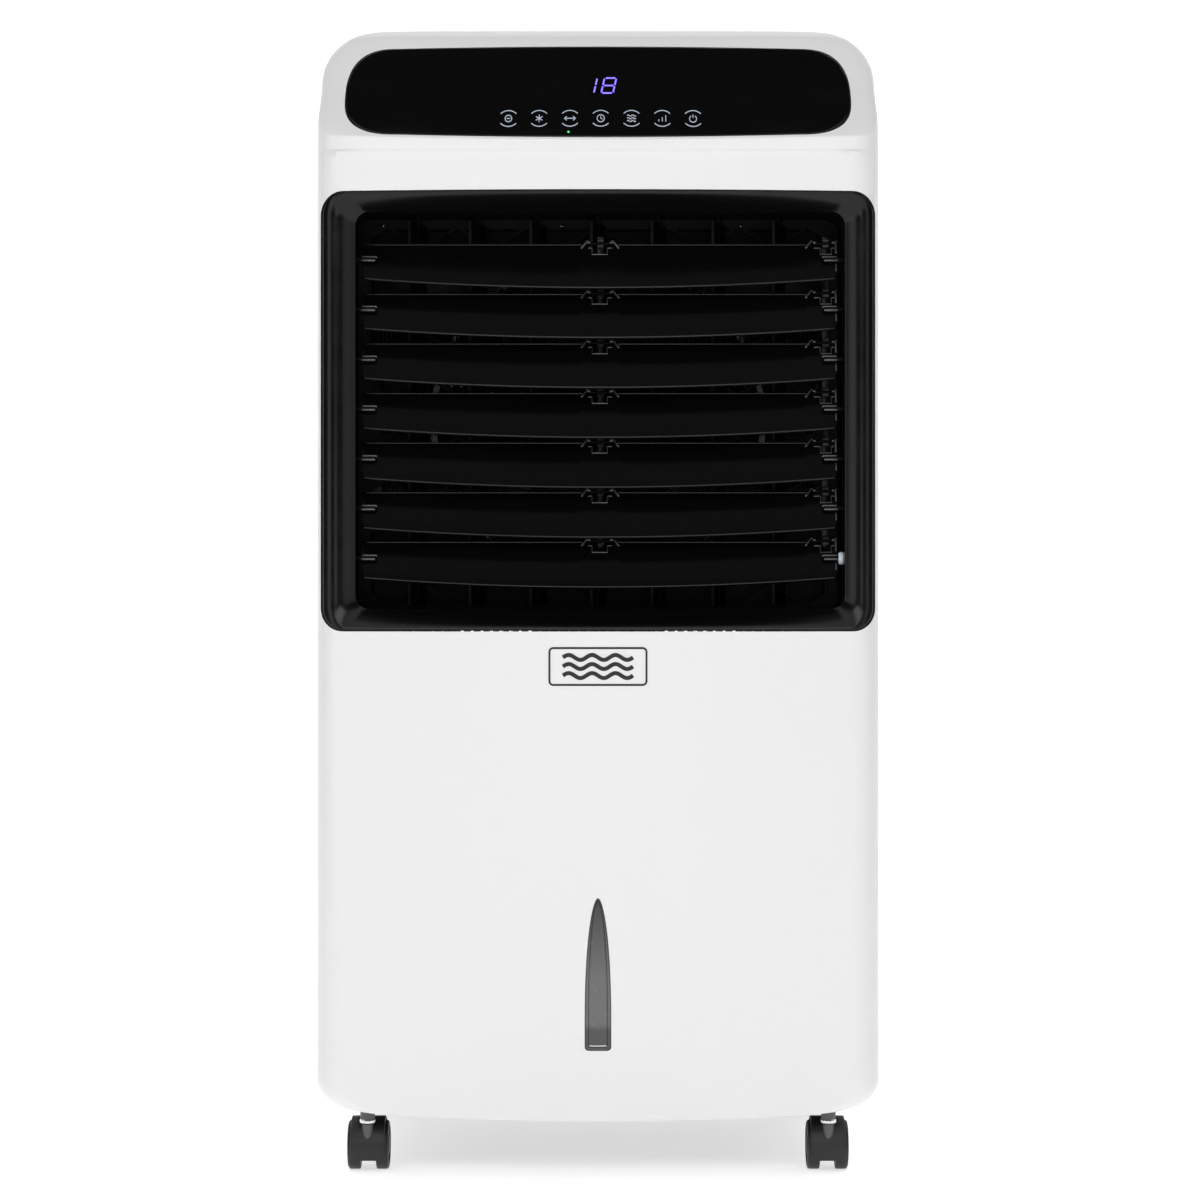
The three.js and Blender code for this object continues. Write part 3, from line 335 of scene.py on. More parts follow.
WHITE = casing_white()
BEZEL_BLACK = gloss_black("bezel_black", 0.2, 0.3)
LOUVRE_BLACK = gloss_black("louvre_black", 0.14, 0.04)
LIP_BLACK = gloss_black("lip_black", 0.2, 0.5)
# The louvres' rims are the same black plastic as the blades; this lighter grey is painted highlight along
# them.
RIM_PAINTED_HIGHLIGHT = moulded("rim_painted_highlight", grey(0.03), grey(0.07), 0.18, 0.08, 900, 0.00001, Specular_IOR_Level=1.0)
GLASS_BLACK = gloss_black("glass_black", 0.05, 0.3)
SMOKE = window_smoke()
# A light grey finish for the window's foot: a painted highlight where the rim's lower edge would catch the
# light.
PAINTED_GLINT_GREY = moulded("window_painted_glint", grey(0.5), grey(0.6), 0.15, 0.1, 300, 0.00001)
LINK_BLACK = moulded("link_black", grey(0.004), grey(0.007), 0.3, 0.12, 900, 0.00002, Specular_IOR_Level=0.25)
# Near-black for the parts inside the duct: black plastic made darker still as painted shade. The steel heater
# frame gets it only as painted shade.
INNER_BLACK_AND_SHADE = moulded(
    "inner_black_and_shade", grey(0.0016), grey(0.0035), 0.4, 0.15, 900, 0.00002, Specular_IOR_Level=0.18
)
DARK_PLASTIC = moulded("dark_plastic", grey(0.03), grey(0.045), 0.42, 0.16, 800, 0.00005)
CASTER_GREY = moulded(
    "caster_grey", grey(0.013), grey(0.021), 0.4, 0.16, 700, 0.00004, Specular_IOR_Level=0.35
)
STEM_GREY = moulded("stem_grey", grey(0.07), grey(0.09), 0.4, 0.1, 700, 0.00003)
TREAD_GREY = moulded(
    "tread_grey", grey(0.008), grey(0.018), 0.36, 0.22, 520, 0.00005, Specular_IOR_Level=0.35
)
NYLON = moulded(
    "natural_nylon", (0.72, 0.74, 0.82, 1), (0.8, 0.8, 0.84, 1), 0.4, 0.12, 600, 0.00003,
    Subsurface_Weight=0.15
)
TANK_MILK = moulded(
    "tank_milk", (0.62, 0.65, 0.66, 1), (0.7, 0.72, 0.73, 1), 0.26, 0.14, 300, 0.00003,
    Subsurface_Weight=0.25, Subsurface_Scale=0.01,
)
HOSE_CLEAR = moulded(
    "hose_clear", (0.5, 0.5, 0.46, 1), (0.62, 0.62, 0.58, 1), 0.2, 0.15, 240, 0.00004, Subsurface_Weight=0.3
)
STEEL, CHROME, FINS_PAINTED_SHADE = bare_steel(), chromed_steel(), fins_painted_shade()
PAPER, CLOTH, BOARD = pad_paper(), mesh_cloth(), circuit_board()
KEY_LIGHT = lit("key_symbols", (0.55, 0.62, 0.74, 1), (0.46, 0.53, 0.66, 1), 0.85)
DIGIT_LIGHT = lit("display_digits", (0.22, 0.16, 1.0, 1), (0.17, 0.11, 0.9, 1), 1.9)
LAMP_LIGHT = lit("swing_lamp", (0.02, 0.8, 0.12, 1), (0.02, 0.6, 0.1, 1), 2.2)
BADGE_INK = moulded("badge_ink", grey(0.005), grey(0.009), 0.35, 0.1, 500, 0.00001)


# ---------------------------------------------------------------- making pieces
def make(name, points, faces):
    """A new object from points in millimetres, its faces turned outwards."""
    mesh = bpy.data.meshes.new(name)
    mesh.from_pydata([tuple(value * MM for value in point) for point in points], [], faces)
    form = bmesh.new()
    form.from_mesh(mesh)
    bmesh.ops.recalc_face_normals(form, faces=form.faces)
    form.to_mesh(mesh)
    form.free()
    piece = bpy.data.objects.new(name, mesh)
    bpy.context.scene.collection.objects.link(piece)
    return piece


def skin(name, loops, ring=False):
    """Joins equal loops of points into a closed solid. A ring joins its last loop to its first."""
    count = len(loops[0])
    faces = []
    for k in range(len(loops) if ring else len(loops) - 1):
        here, there = k * count, (k + 1) % len(loops) * count
        for i in range(count):
            j = (i + 1) % count
            faces.append((here + i, here + j, there + j, there + i))
    if not ring:
        faces.append(tuple(range(count)))
        faces.append(tuple(reversed(range(len(loops) * count - count, len(loops) * count))))
    return make(name, [point for loop in loops for point in loop], faces)


def block(name, x, y, z):
    """A box between two values on each axis."""
    corners = [(a, b, c) for a in x for b in y for c in z]
    sides = [(0, 1, 3, 2), (4, 6, 7, 5), (0, 4, 5, 1), (2, 3, 7, 6), (0, 2, 6, 4), (1, 5, 7, 3)]
    return make(name, corners, sides)


def turned(name, profile, axis, centre, sides=48):
    """A body of revolution. The profile lists (distance along the axis, radius) and runs pole to pole."""
    frames = {"X": lambda h, u, v: (h, u, v), "Y": lambda h, u, v: (u, h, v), "Z": lambda h, u, v: (u, v, h)}
    loops = []
    for height, radius in profile:
        r = max(radius, 0.01)
        ring = [(r * cos(2 * pi * i / sides), r * sin(2 * pi * i / sides)) for i in range(sides)]
        loops.append([tuple(a + b for a, b in zip(frames[axis](height, u, v), centre)) for u, v in ring])
    return skin(name, loops)


def prism(name, outline, y_front, y_back):
    """A front-view outline of (x, z) points, given depth."""
    return skin(name, [[(x, y, z) for x, z in outline] for y in (y_front, y_back)])


def settle(piece):
    """Turns a piece and its modifiers into one plain mesh."""
    graph = bpy.context.evaluated_depsgraph_get()
    mesh = bpy.data.meshes.new_from_object(piece.evaluated_get(graph))
    piece.modifiers.clear()
    piece.data = mesh
    return piece


def carve(piece, *steps):
    """Adds, cuts away or keeps what a list of (operation, tool) says, and uses the tools up."""
    for operation, tool in steps:
        change = piece.modifiers.new("carve", "BOOLEAN")
        change.operation, change.solver, change.object = operation, "MANIFOLD", tool
    settle(piece)
    for tool in {tool for _, tool in steps}:
        bpy.data.objects.remove(tool)
    return piece


def copy_of(piece, name):
    twin = bpy.data.objects.new(name, piece.data.copy())
    bpy.context.scene.collection.objects.link(twin)
    return twin


def soften(piece, width, segments=2, angle=35):
    """Rounds the edges that are sharper than an angle, and keeps the flats between them flat."""
    form = bmesh.new()
    form.from_mesh(piece.data)
    bmesh.ops.remove_doubles(form, verts=form.verts, dist=2e-6)
    bmesh.ops.dissolve_limit(form, angle_limit=radians(0.6), verts=form.verts, edges=form.edges)
    form.to_mesh(piece.data)
    form.free()
    edge = piece.modifiers.new("edge", "BEVEL")
    edge.width, edge.segments, edge.angle_limit = width * MM, segments, radians(angle)
    edge.limit_method, edge.miter_outer = "ANGLE", "MITER_ARC"
    edge.use_clamp_overlap = edge.harden_normals = True
    return settle(piece)


def fuse(name, pieces):
    """Puts several pieces into one mesh."""
    form = bmesh.new()
    for piece in pieces:
        form.from_mesh(piece.data)
        bpy.data.objects.remove(piece)
    mesh = bpy.data.meshes.new(name)
    form.to_mesh(mesh)
    form.free()
    whole = bpy.data.objects.new(name, mesh)
    bpy.context.scene.collection.objects.link(whole)
    return whole


def moved(piece, matrix):
    """Moves the points of a mesh, so that its object stays at the origin."""
    piece.data.transform(matrix)
    return piece


def shade(piece, finish, angle=32):
    piece.data.materials.clear()
    piece.data.materials.append(finish.material)
    piece.data.shade_smooth()
    piece.data.set_sharp_from_angle(angle=radians(angle))
    return piece


def fit(piece, finish, *nodes, angle=32):
    """Finishes a piece that takes the place of CAD nodes and moves with the first one's body."""
    shade(piece, finish, angle)
    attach(piece, BODY_OF[nodes[0]])
    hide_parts(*nodes)
    return piece


def trim(piece, finish, node, angle=32):
    """Finishes a small extra piece that sits on a CAD node's body."""
    shade(piece, finish, angle)
    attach(piece, BODY_OF[node])
    return piece


def softened_node(node, finish, width, segments=2, angle=35):
    """A CAD node with rounded edges."""
    mesh = frame["nodes"][node].data.copy()
    piece = bpy.data.objects.new(node + "_soft", mesh)
    bpy.context.scene.collection.objects.link(piece)
    return fit(soften(piece, width, segments, angle), finish, node)


def dress(finish, *nodes):
    """Gives CAD nodes whose shape is right their finish."""
    for node in nodes:
        for material_slot in frame["nodes"][node].material_slots:
            material_slot.material = finish.material


# ---------------------------------------------------------------- rows of equal pieces
def row_tree():
    """A Geometry Nodes tree that repeats an object's own mesh along a line, every second copy turned."""
    tree = bpy.data.node_groups.new("row_of_pieces", "GeometryNodeTree")
    sockets = (("Geometry", "Geometry"), ("Count", "Int"), ("Start", "Vector"), ("Step", "Vector"),
               ("Alternate Turn", "Float"), ("Finish", "Material"))
    for label, kind in sockets:
        tree.interface.new_socket(label, in_out="INPUT", socket_type="NodeSocket" + kind)
    tree.interface.new_socket("Geometry", in_out="OUTPUT", socket_type="NodeSocketGeometry")
    given, result = tree.nodes.new("NodeGroupInput"), tree.nodes.new("NodeGroupOutput")

    def add(kind, *joins, **settings):
        made = tree.nodes.new(kind)
        for key, value in settings.items():
            setattr(made, key, value)
        for socket, label in joins:
            tree.links.new(label, made.inputs[socket])
        return made

    line = add(
        "GeometryNodeMeshLine", ("Count", given.outputs["Count"]), ("Start Location", given.outputs["Start"]),
        ("Offset", given.outputs["Step"]), mode="OFFSET"
    )
    index = add("GeometryNodeInputIndex")
    parity = add("ShaderNodeMath", (0, index.outputs[0]), operation="MODULO")
    parity.inputs[1].default_value = 2.0
    angle = add(
        "ShaderNodeMath", (0, parity.outputs[0]), (1, given.outputs["Alternate Turn"]), operation="MULTIPLY"
    )
    turn = add("ShaderNodeCombineXYZ", ("Z", angle.outputs[0]))
    copies = add(
        "GeometryNodeInstanceOnPoints", ("Points", line.outputs[0]), ("Instance", given.outputs["Geometry"]),
        ("Rotation", turn.outputs[0])
    )
    real = add("GeometryNodeRealizeInstances", (0, copies.outputs[0]))
    final = add("GeometryNodeSetMaterial", (0, real.outputs[0]), ("Material", given.outputs["Finish"]))
    tree.links.new(final.outputs[0], result.inputs[0])
    return tree


ROW = row_tree()


def row(piece, finish, count, start, step, alternate=0.0):
    """Repeats a piece made round the origin: the first copy at start, each next one a step on."""
    values = {"Count": count, "Start": [v * MM for v in start], "Step": [v * MM for v in step],
              "Alternate Turn": alternate, "Finish": finish.material}
    repeat = piece.modifiers.new("row", "NODES")
    repeat.node_group = ROW
    for item in ROW.interface.items_tree:
        if item.in_out == "INPUT" and item.name in values:
            repeat[item.identifier] = values[item.name]
    piece.data.update()
    return settle(piece)


# ---------------------------------------------------------------- the cabinet's form
def front_wall(x, inset=0.0):
    return FRONT_Y + inset + BOW * (x / HALF_W) ** 2


def slope_wall(x, z, inset=0.0):
    """How far back the control face stands at a height, with the narrow step under it."""
    t = (z - SLOPE_Z) / (HEIGHT - SLOPE_Z)
    bow = lerp(BOW, SLOPE_END_BOW, max(t, 0.0)) * (x / HALF_W) ** 2
    back = 1.3 * inset
    if t < 0:
        return lerp(FRONT_Y, SLOPE_START_Y, (z - CREASE_Z) / (SLOPE_Z - CREASE_Z)) + bow + back
    brow = 0.1 * max(0.0, z - 792.0) ** 2
    return lerp(SLOPE_START_Y, SLOPE_END_Y, t) + bow + back + brow


def corner_line(half_w, z, inset, sloped, steps=18):
    """The right front corner of a section, from the front round to the side."""
    r = FRONT_CORNER - inset
    lean = math.atan(2 * BOW * (half_w - r) / HALF_W**2)
    hub_x = half_w - r
    hub_y = front_wall(half_w - r * (1 - sin(lean)), inset) + r * cos(lean)
    angles = [lerp(lean - pi / 2, 0.0, i / steps) for i in range(steps + 1)]
    if not sloped:
        return [(hub_x + r * cos(a), hub_y + r * sin(a)) for a in angles]
    cut = slope_wall(half_w, z, inset)
    soft = lerp(1.0, 7.0, min(1.0, max(0.0, (cut - FRONT_Y) / 40.0)))
    base_y = max(hub_y, cut + r)

    def outside(x, y):
        across, ahead = x - hub_x, hub_y - y
        wall = math.hypot(max(across, 0.0), max(ahead, 0.0)) - r
        return smooth_max(wall, slope_wall(x, z, inset) - y, soft)

    line = []
    for a in angles:
        near, far = 0.0, 2.0 * r
        for _ in range(30):
            middle = (near + far) / 2
            if outside(hub_x + middle * cos(a), base_y + middle * sin(a)) < 0:
                near = middle
            else:
                far = middle
        line.append((hub_x + near * cos(a), base_y + near * sin(a)))
    return line


def section(half_w, z, inset, sloped, rear_y):
    """One horizontal section of the cabinet, as (x, y) points."""
    corner = corner_line(half_w, z, inset, sloped)
    start_x = corner[0][0]
    spans, rear_steps = 48, 8
    r = REAR_CORNER - inset
    front = []
    for i in range(1, spans):
        x = start_x * (2 * i / spans - 1)
        wall = front_wall(x, inset)
        if sloped:
            depth = slope_wall(0.0, z, inset) - FRONT_Y
            wall = smooth_max(wall, slope_wall(x, z, inset), lerp(1.0, 7.0, min(1.0, max(0.0, depth / 40.0))))
        front.append((x, wall))
    side = [(half_w, lerp(corner[-1][1], rear_y - r, i / 4)) for i in range(1, 4)]
    turns = [pi / 2 * i / rear_steps for i in range(rear_steps + 1)]
    rear = [(half_w - r + r * cos(a), rear_y - r + r * sin(a)) for a in turns]
    right = corner + side + rear
    left = [(-x, y) for x, y in reversed(right)]
    return front + right + left


def cabinet_solid(name, inset):
    """The whole cabinet with its skin moved inwards. An inner form has no floor."""
    levels = []
    foot = HALF_W - SKIRT_ACROSS
    if inset:
        levels.append((0.0, foot, False, 0.0))
    for i in range(11):
        a = pi / 2 * i / 10
        drop = SKIRT_DROP * max(0.0, 1 - i / 6) ** 2 if not inset else 0.0
        z = SKIRT_Z + SKIRT_UP - (SKIRT_UP - inset) * cos(a) - drop
        levels.append((z, foot + (SKIRT_ACROSS - inset) * sin(a), False, drop))
    half_w, round_z = HALF_W - inset, HEIGHT - TOP_ROUND
    for z in (66.0, 120.0, 260.0, 373.0, 678.0, 698.0):
        levels.append((z, half_w, False, 0.0 if z < 400 else CREASE_RISE * (z - 600) / 104))
    levels.append((CREASE_Z - 1.2 - inset / 2, half_w, False, CREASE_RISE))
    for z in (
        704.0, 704.8, 706.5, 709.5, 711.0, 711.7, 712.4, 713.6, 716, 719, 722, 725, 728, 731, 734, 737, 740,
        744, 749, 755
    ):
        t = max(0.0, (z - SLOPE_Z) / (round_z - SLOPE_Z))
        rise = lerp(
            CREASE_RISE, SLOPE_RISE, (z - CREASE_Z) / (SLOPE_Z - CREASE_Z)
        ) if z < SLOPE_Z else SLOPE_RISE * (1 - t)
        levels.append((z, half_w, True, rise))
    r = TOP_ROUND - inset
    for i in range(19):
        a = pi / 2 * i / 18
        levels.append((round_z + r * sin(a), HALF_W - TOP_ROUND + r * cos(a), True, 0.0))
    loops = []
    for z, half, sloped, rise in levels:
        over = max(0.0, z + inset - (HEIGHT - REAR_TOP_ROUND))
        rear_y = REAR_Y - inset - REAR_TOP_ROUND + math.sqrt(max(0.0, REAR_TOP_ROUND**2 - over**2))
        points = section(half, z, inset, sloped, rear_y)
        loops.append([(x, y, z + rise * (min(1.0, (x / half) ** 2) if y < 0 else 1.0)) for x, y in points])
    return skin(name, loops)


def rounded_rect(half_w, bottom, top, r, steps=10):
    """A rectangle with round corners, as (x, z) points from the lower right corner on."""
    points = []
    for cx, cz, start in (
        (half_w - r, bottom + r, -90), (half_w - r, top - r, 0), (r - half_w, top - r, 90),
        (r - half_w, bottom + r, 180)
    ):
        for i in range(steps + 1):
            a = radians(start + 90 * i / steps)
            points.append((cx + r * cos(a), cz + r * sin(a)))
    return points


def glass_outline(grow=0.0, steps=16):
    """The control glass from the front: long edges almost straight, full and squarish ends."""
    end_x, end_z = 175.4, 744.0
    fullness = 2 / 2.6

    def quarter(corner_x, corner_z, a):
        return end_x_from(corner_x, a), end_z + (corner_z - end_z) * sin(a) ** fullness

    def end_x_from(corner_x, a):
        return corner_x + (end_x - corner_x) * cos(a) ** fullness

    half = [(137.0 * i / 8, lerp(713.6, 716.2, (i / 8) ** 2)) for i in range(8)]
    half += [quarter(137.0, 716.2, pi / 2 * i / steps) for i in range(steps, 0, -1)]
    half += [quarter(140.7, 783.5, pi / 2 * i / steps) for i in range(steps + 1)]
    half += [(140.7 * i / 8, lerp(785.0, 783.5, (i / 8) ** 2)) for i in range(7, -1, -1)]
    grown = [(x * (1 + grow / end_x), z + grow * max(-1.0, min(1.0, (z - end_z) / 12))) for x, z in half]
    return grown + [(-x, z) for x, z in reversed(grown[1:-1])]


def window_outline(grow=0.0, steps=22):
    """The water window: a blade with a flat foot and a narrow round tip."""
    foot, shoulder, tip, half_w, r = 88.0 - grow, 107.0, 191.8 + grow, 8.7 + grow, 2.6
    heights = [1 - (1 - i / steps) ** 1.6 for i in range(steps)]
    side = [(half_w * (1 - h**2.2) ** 0.55, lerp(shoulder, tip, h)) for h in heights]
    corner = [(half_w - r + r * sin(pi / 2 * i / 5), foot + r - r * cos(pi / 2 * i / 5)) for i in range(6)]
    right = corner + side
    return right + [(0.0, tip)] + [(-x, z) for x, z in reversed(right)]


def on_front(x, z, out=0.0):
    return (x, front_wall(x) - out, z)


def on_slope(x, z, out=0.0):
    run, rise = SLOPE_END_Y - SLOPE_START_Y, HEIGHT - SLOPE_Z
    length = math.hypot(run, rise)
    return (x, slope_wall(x, z) - out * rise / length, z + out * run / length)


# ---------------------------------------------------------------- casing
def build_casing():
    """Cuts the four white mouldings out of one hollow cabinet."""
    shell = carve(cabinet_solid("shell", 0.0), ("DIFFERENCE", cabinet_solid("hollow", WALL)))
    bezel_hole = rounded_rect(
        BEZEL["half_w"] + SEAM, BEZEL["bottom"] - SEAM, BEZEL["top"] + SEAM, BEZEL["corner"] + SEAM
    )
    front = carve(
        copy_of(shell, "front_moulding"),
        ("INTERSECT", block("keep", (-FAR, FAR), (-FAR, FRONT_SEAM_Y), (-1, FAR * 2))),
        ("DIFFERENCE", prism("outlet_hole", bezel_hole, -FAR, FRONT_SEAM_Y + 1)),
        ("DIFFERENCE", prism("glass_hole", glass_outline(SEAM), -FAR, FRONT_SEAM_Y + 1)),
        ("DIFFERENCE", prism("window_hole", window_outline(0.4), -FAR, FRONT_SEAM_Y + 1)),
    )
    fit(front, WHITE, "front_shell", angle=38)
    top = carve(
        copy_of(shell, "top_moulding"),
        ("INTERSECT", block("keep", (-FAR, FAR), (FRONT_SEAM_Y + SEAM, FAR), (TOP_SEAM_Z, FAR * 2))),
    )
    fit(top, WHITE, "top_cover", angle=38)
    for side, node in ((-1, "side_panel_left"), (1, "side_panel_right")):
        build_side(shell, side, node)
    build_rear(shell)
    bpy.data.objects.remove(shell)


def build_side(shell, side, node):
    """A flat side with a sunken hand grip that has rounded edges."""
    grip = HAND_GRIP

    def span(near, far):
        return tuple(sorted((side * near, side * far)))

    inner = HALF_W - grip["deep"]
    skin_x, w = span(inner - grip["wall"], HALF_W - 1.5), grip["wall"]
    cup = block("cup", skin_x, (grip["front"] - w, grip["back"] + w), (grip["bottom"] - w, grip["top"] + w))
    hollow = block(
        "hollow", span(inner, HALF_W + 5), (grip["front"], grip["back"]), (grip["bottom"], grip["top"])
    )
    hollow = soften(hollow, 5.0, 5)
    panel = carve(
        copy_of(shell, node + "_moulding"),
        (
            "INTERSECT",
            block("keep", span(100, FAR), (FRONT_SEAM_Y + SEAM, REAR_SEAM_Y), (-1, TOP_SEAM_Z - SEAM))
        ),
        ("UNION", cup),
        ("DIFFERENCE", hollow),
    )
    fit(panel, WHITE, node, angle=38)


def build_rear(shell):
    """The rear frame, open round the water drawer, the filter and the cable."""
    tank_hole, filter_hole = (
        block("bay", (-bay["half_w"], bay["half_w"]), (0, FAR), (bay["bottom"], bay["top"]))
        for bay in (TANK_BAY, FILTER_BAY)
    )
    cable_r = CABLE_HOLE["r"]
    cable_line = [(0, 0), (0, cable_r), (FAR, cable_r), (FAR, 0)]
    cable_hole = turned("cable_hole", cable_line, "Y", (CABLE_HOLE["x"], 0, CABLE_HOLE["z"]), 32)
    rear = carve(
        copy_of(shell, "rear_moulding"),
        ("INTERSECT", block("keep", (-FAR, FAR), (REAR_SEAM_Y + SEAM, FAR), (-1, TOP_SEAM_Z - SEAM))),
        ("DIFFERENCE", tank_hole),
        ("DIFFERENCE", filter_hole),
        ("DIFFERENCE", cable_hole),
    )
    fit(rear, WHITE, "rear_shell", angle=38)


# ---------------------------------------------------------------- air outlet
def bezel_skin(x):
    """A point of the cabinet's outside and its outward direction, at a sideways place on the bezel."""
    hub_x = HALF_W - FRONT_CORNER
    lean = math.atan(2 * BOW * hub_x / HALF_W**2)
    end_x = HALF_W - FRONT_CORNER * (1 - sin(lean))
    reach = abs(x)
    if reach <= end_x:
        return (x, front_wall(x)), (0.0, -1.0)
    hub_y = front_wall(end_x) + FRONT_CORNER * cos(lean)
    across = (reach - hub_x) / FRONT_CORNER
    ahead = math.sqrt(1 - across**2)
    return (x, hub_y - FRONT_CORNER * ahead), (math.copysign(across, x), -ahead)


def build_bezel():
    """A glossy frame: one round crest outside that rolls over into a flat sloping in to the opening."""
    back_y, seat_y = -137.0, -144.5
    rim_share, rim_depth = 0.08, 1.5
    roll, early = 0.07, 0.62

    def loop_at(t, depth_at):
        shape = rounded_rect(
            lerp(BEZEL["half_w"], OUTLET["half_w"], t), lerp(BEZEL["bottom"], OUTLET["bottom"], t),
            lerp(BEZEL["top"], OUTLET["top"], t), lerp(BEZEL["corner"], OUTLET["corner"], t), 10,
        )
        shape = [(x + OUTLET["x"] * t, z) for x, z in shape]
        points = []
        for k, (x, z) in enumerate(shape):
            following = shape[(k + 1) % len(shape)]
            long_edge = abs(following[0] - x) + abs(following[1] - z) > 40
            for i in range(24 if long_edge else 1):
                share = i / 24
                px, pz = lerp(x, following[0], share), lerp(z, following[1], share)
                points.append(depth_at(px, pz))
        return points

    def rolled(t):
        rim = rim_depth * max(0.0, 1 - t / rim_share) ** 3
        v = max(0.0, t - rim_share) / 0.9
        dip = early * (v - roll * (1 - math.exp(-v / roll))) / (1 - roll) + (1 - early) * v * v

        def place(x, z):
            (sx, sy), (nx, ny) = bezel_skin(x)
            return (sx - nx * rim, lerp(sy - ny * rim, seat_y, min(1.0, dip)), z)

        return place

    def flat(y):
        return lambda x, z: (x, y, z)

    turns = [0.0, 0.008, 0.02, 0.036, 0.056, rim_share]
    turns += [lerp(rim_share, 0.978, (i / 26) ** 1.3) for i in range(1, 27)]
    lip = ((0.988, seat_y + 0.08), (0.996, seat_y + 0.4), (1.0, seat_y + 1.0), (1.0, back_y))
    loops = [loop_at(0.0, flat(back_y))] + [loop_at(t, rolled(t)) for t in turns]
    loops += [loop_at(t, flat(y)) for t, y in lip]
    fit(skin("bezel_frame", loops, ring=True), BEZEL_BLACK, "louvre_bezel", angle=50)


def louvre_blank():
    """A hanging louvre about its pivot axis: a thin blade, a bead along its top, a bowed lower edge."""
    half_l, end_r, r = LOUVRE["half_l"], LOUVRE["end_r"], LOUVRE["bead_r"]
    spots = [half_l - end_r * (1 - cos(pi / 2 * i / 8)) for i in range(9)]
    ends = {round(s * sign, 4) for s in spots for sign in (-1, 1)}
    xs = sorted(ends | {half_l * (k / 26 - 1) * 0.96 for k in range(53)})
    face, back = LOUVRE["face_y"], LOUVRE["back_y"]
    edge = (back - face) / 2
    over = [radians(lerp(-84, 180, i / 16)) for i in range(17)]
    bead = [(face + r + r * cos(a), LOUVRE["bead_z"] + r * sin(a)) for a in over]
    below = [-pi * i / 8 for i in range(8, -1, -1)]
    loops = []
    for x in xs:
        low = LOUVRE["low"] - LOUVRE["bow"] * (1 - (x / half_l) ** 2)
        past = max(0.0, abs(x) - (half_l - end_r))
        low += end_r - math.sqrt(max(0.0, end_r**2 - past**2))
        under = [(face + edge + edge * cos(a), low + edge + edge * sin(a)) for a in below]
        loops.append([(LOUVRE["x"] + x, y, z) for y, z in bead + under])
    return skin("louvre_blank", loops)


def rod_x(name, r, x0, x1, y, z, sides=20, edge=0.3):
    """A round bar along X with chamfered ends."""
    profile = [(x0, 0), (x0, r - edge), (x0 + edge, r), (x1 - edge, r), (x1, r - edge), (x1, 0)]
    return turned(name, profile, "X", (0, y, z), sides)


def rail(name, line, y, r, sides=10):
    """A round bar with domed ends along a line of (x, z) points at one depth."""
    stops = []
    for i, (x, z) in enumerate(line):
        (ax, az), (bx, bz) = line[max(i - 1, 0)], line[min(i + 1, len(line) - 1)]
        length = math.hypot(bx - ax, bz - az)
        along = ((bx - ax) / length, (bz - az) / length)
        steps = [(0, 1)]
        if i == 0:
            steps = [(-1, 0.05), (-0.8, 0.6), (-0.45, 0.9), (0, 1)]
        elif i == len(line) - 1:
            steps = [(0, 1), (0.45, 0.9), (0.8, 0.6), (1, 0.05)]
        stops += [(x + along[0] * r * go, z + along[1] * r * go, along, r * size) for go, size in steps]
    loops = []
    for x, z, (ux, uz), size in stops:
        ring = [(size * cos(2 * pi * i / sides), size * sin(2 * pi * i / sides)) for i in range(sides)]
        loops.append([(x - uz * p, y + q, z + ux * p) for p, q in ring])
    return skin(name, loops)


def louvre_ear(ear, at_end):
    """A raised ear that wraps over the top bead."""
    left, right = ear["top"]
    foot_right = right if at_end else right + EAR_SLANT
    outline = [(left - EAR_SLANT, EAR_FOOT), (foot_right, EAR_FOOT), (right, EAR_TOP), (left, EAR_TOP)]
    return prism("ear", outline, LOUVRE["face_y"] - 0.3, LOUVRE["back_y"] + 2.2)


def ear_rails(ear, at_end):
    """The rounded rims of an ear: its sloping shoulders and the lip round the slot."""
    (left, right), (gap_left, gap_right), (slot_left, slot_right) = ear["top"], ear["gap"], ear["slot"]
    front = LOUVRE["face_y"] - 0.1
    foot_z, shoulder_z = EAR_FOOT + 0.4, EAR_TOP - 0.9
    shoulder_right = right - 0.8 if at_end else right + EAR_SLANT - 0.4
    low_right = SLOT_Z + 1.0 if at_end else foot_z
    bend_right = right + (-0.8 if at_end else 0.7)
    slot_left, slot_right, slot_low = slot_left - 0.3, slot_right + 0.3, SLOT_Z - 0.3
    left_shoulder = [(left - EAR_SLANT + 0.4, foot_z), (left - 0.7, shoulder_z), (left + 0.1, EAR_TOP - 0.7)]
    right_shoulder = [(right - 0.1, EAR_TOP - 0.7), (bend_right, shoulder_z), (shoulder_right, low_right)]
    slot_top = GAP_Z - 0.6
    slot = [(slot_left, slot_top), (slot_left, slot_low), (slot_right, slot_low), (slot_right, slot_top)]
    lines = (
        ("shoulder", 0.8, 0.0, left_shoulder),
        ("shoulder", 0.8, 0.0, right_shoulder),
        ("slot_lip", 0.5, 0.1, slot),
        ("gap_lip", 0.45, 0.1, [(gap_left - 0.3, GAP_Z - 0.3), (slot_left - 0.3, GAP_Z - 0.3)]),
        ("gap_lip", 0.45, 0.1, [(slot_right + 0.3, GAP_Z - 0.3), (gap_right + 0.3, GAP_Z - 0.3)]),
        ("pin_end", 0.95, -0.1, [(gap_left - 0.35, PIN_Z), (gap_left + 0.35, PIN_Z)]),
        ("pin_end", 0.95, -0.1, [(gap_right - 0.35, PIN_Z), (gap_right + 0.35, PIN_Z)]),
    )
    return [rail(name, line, front + back, r) for name, r, back, line in lines]


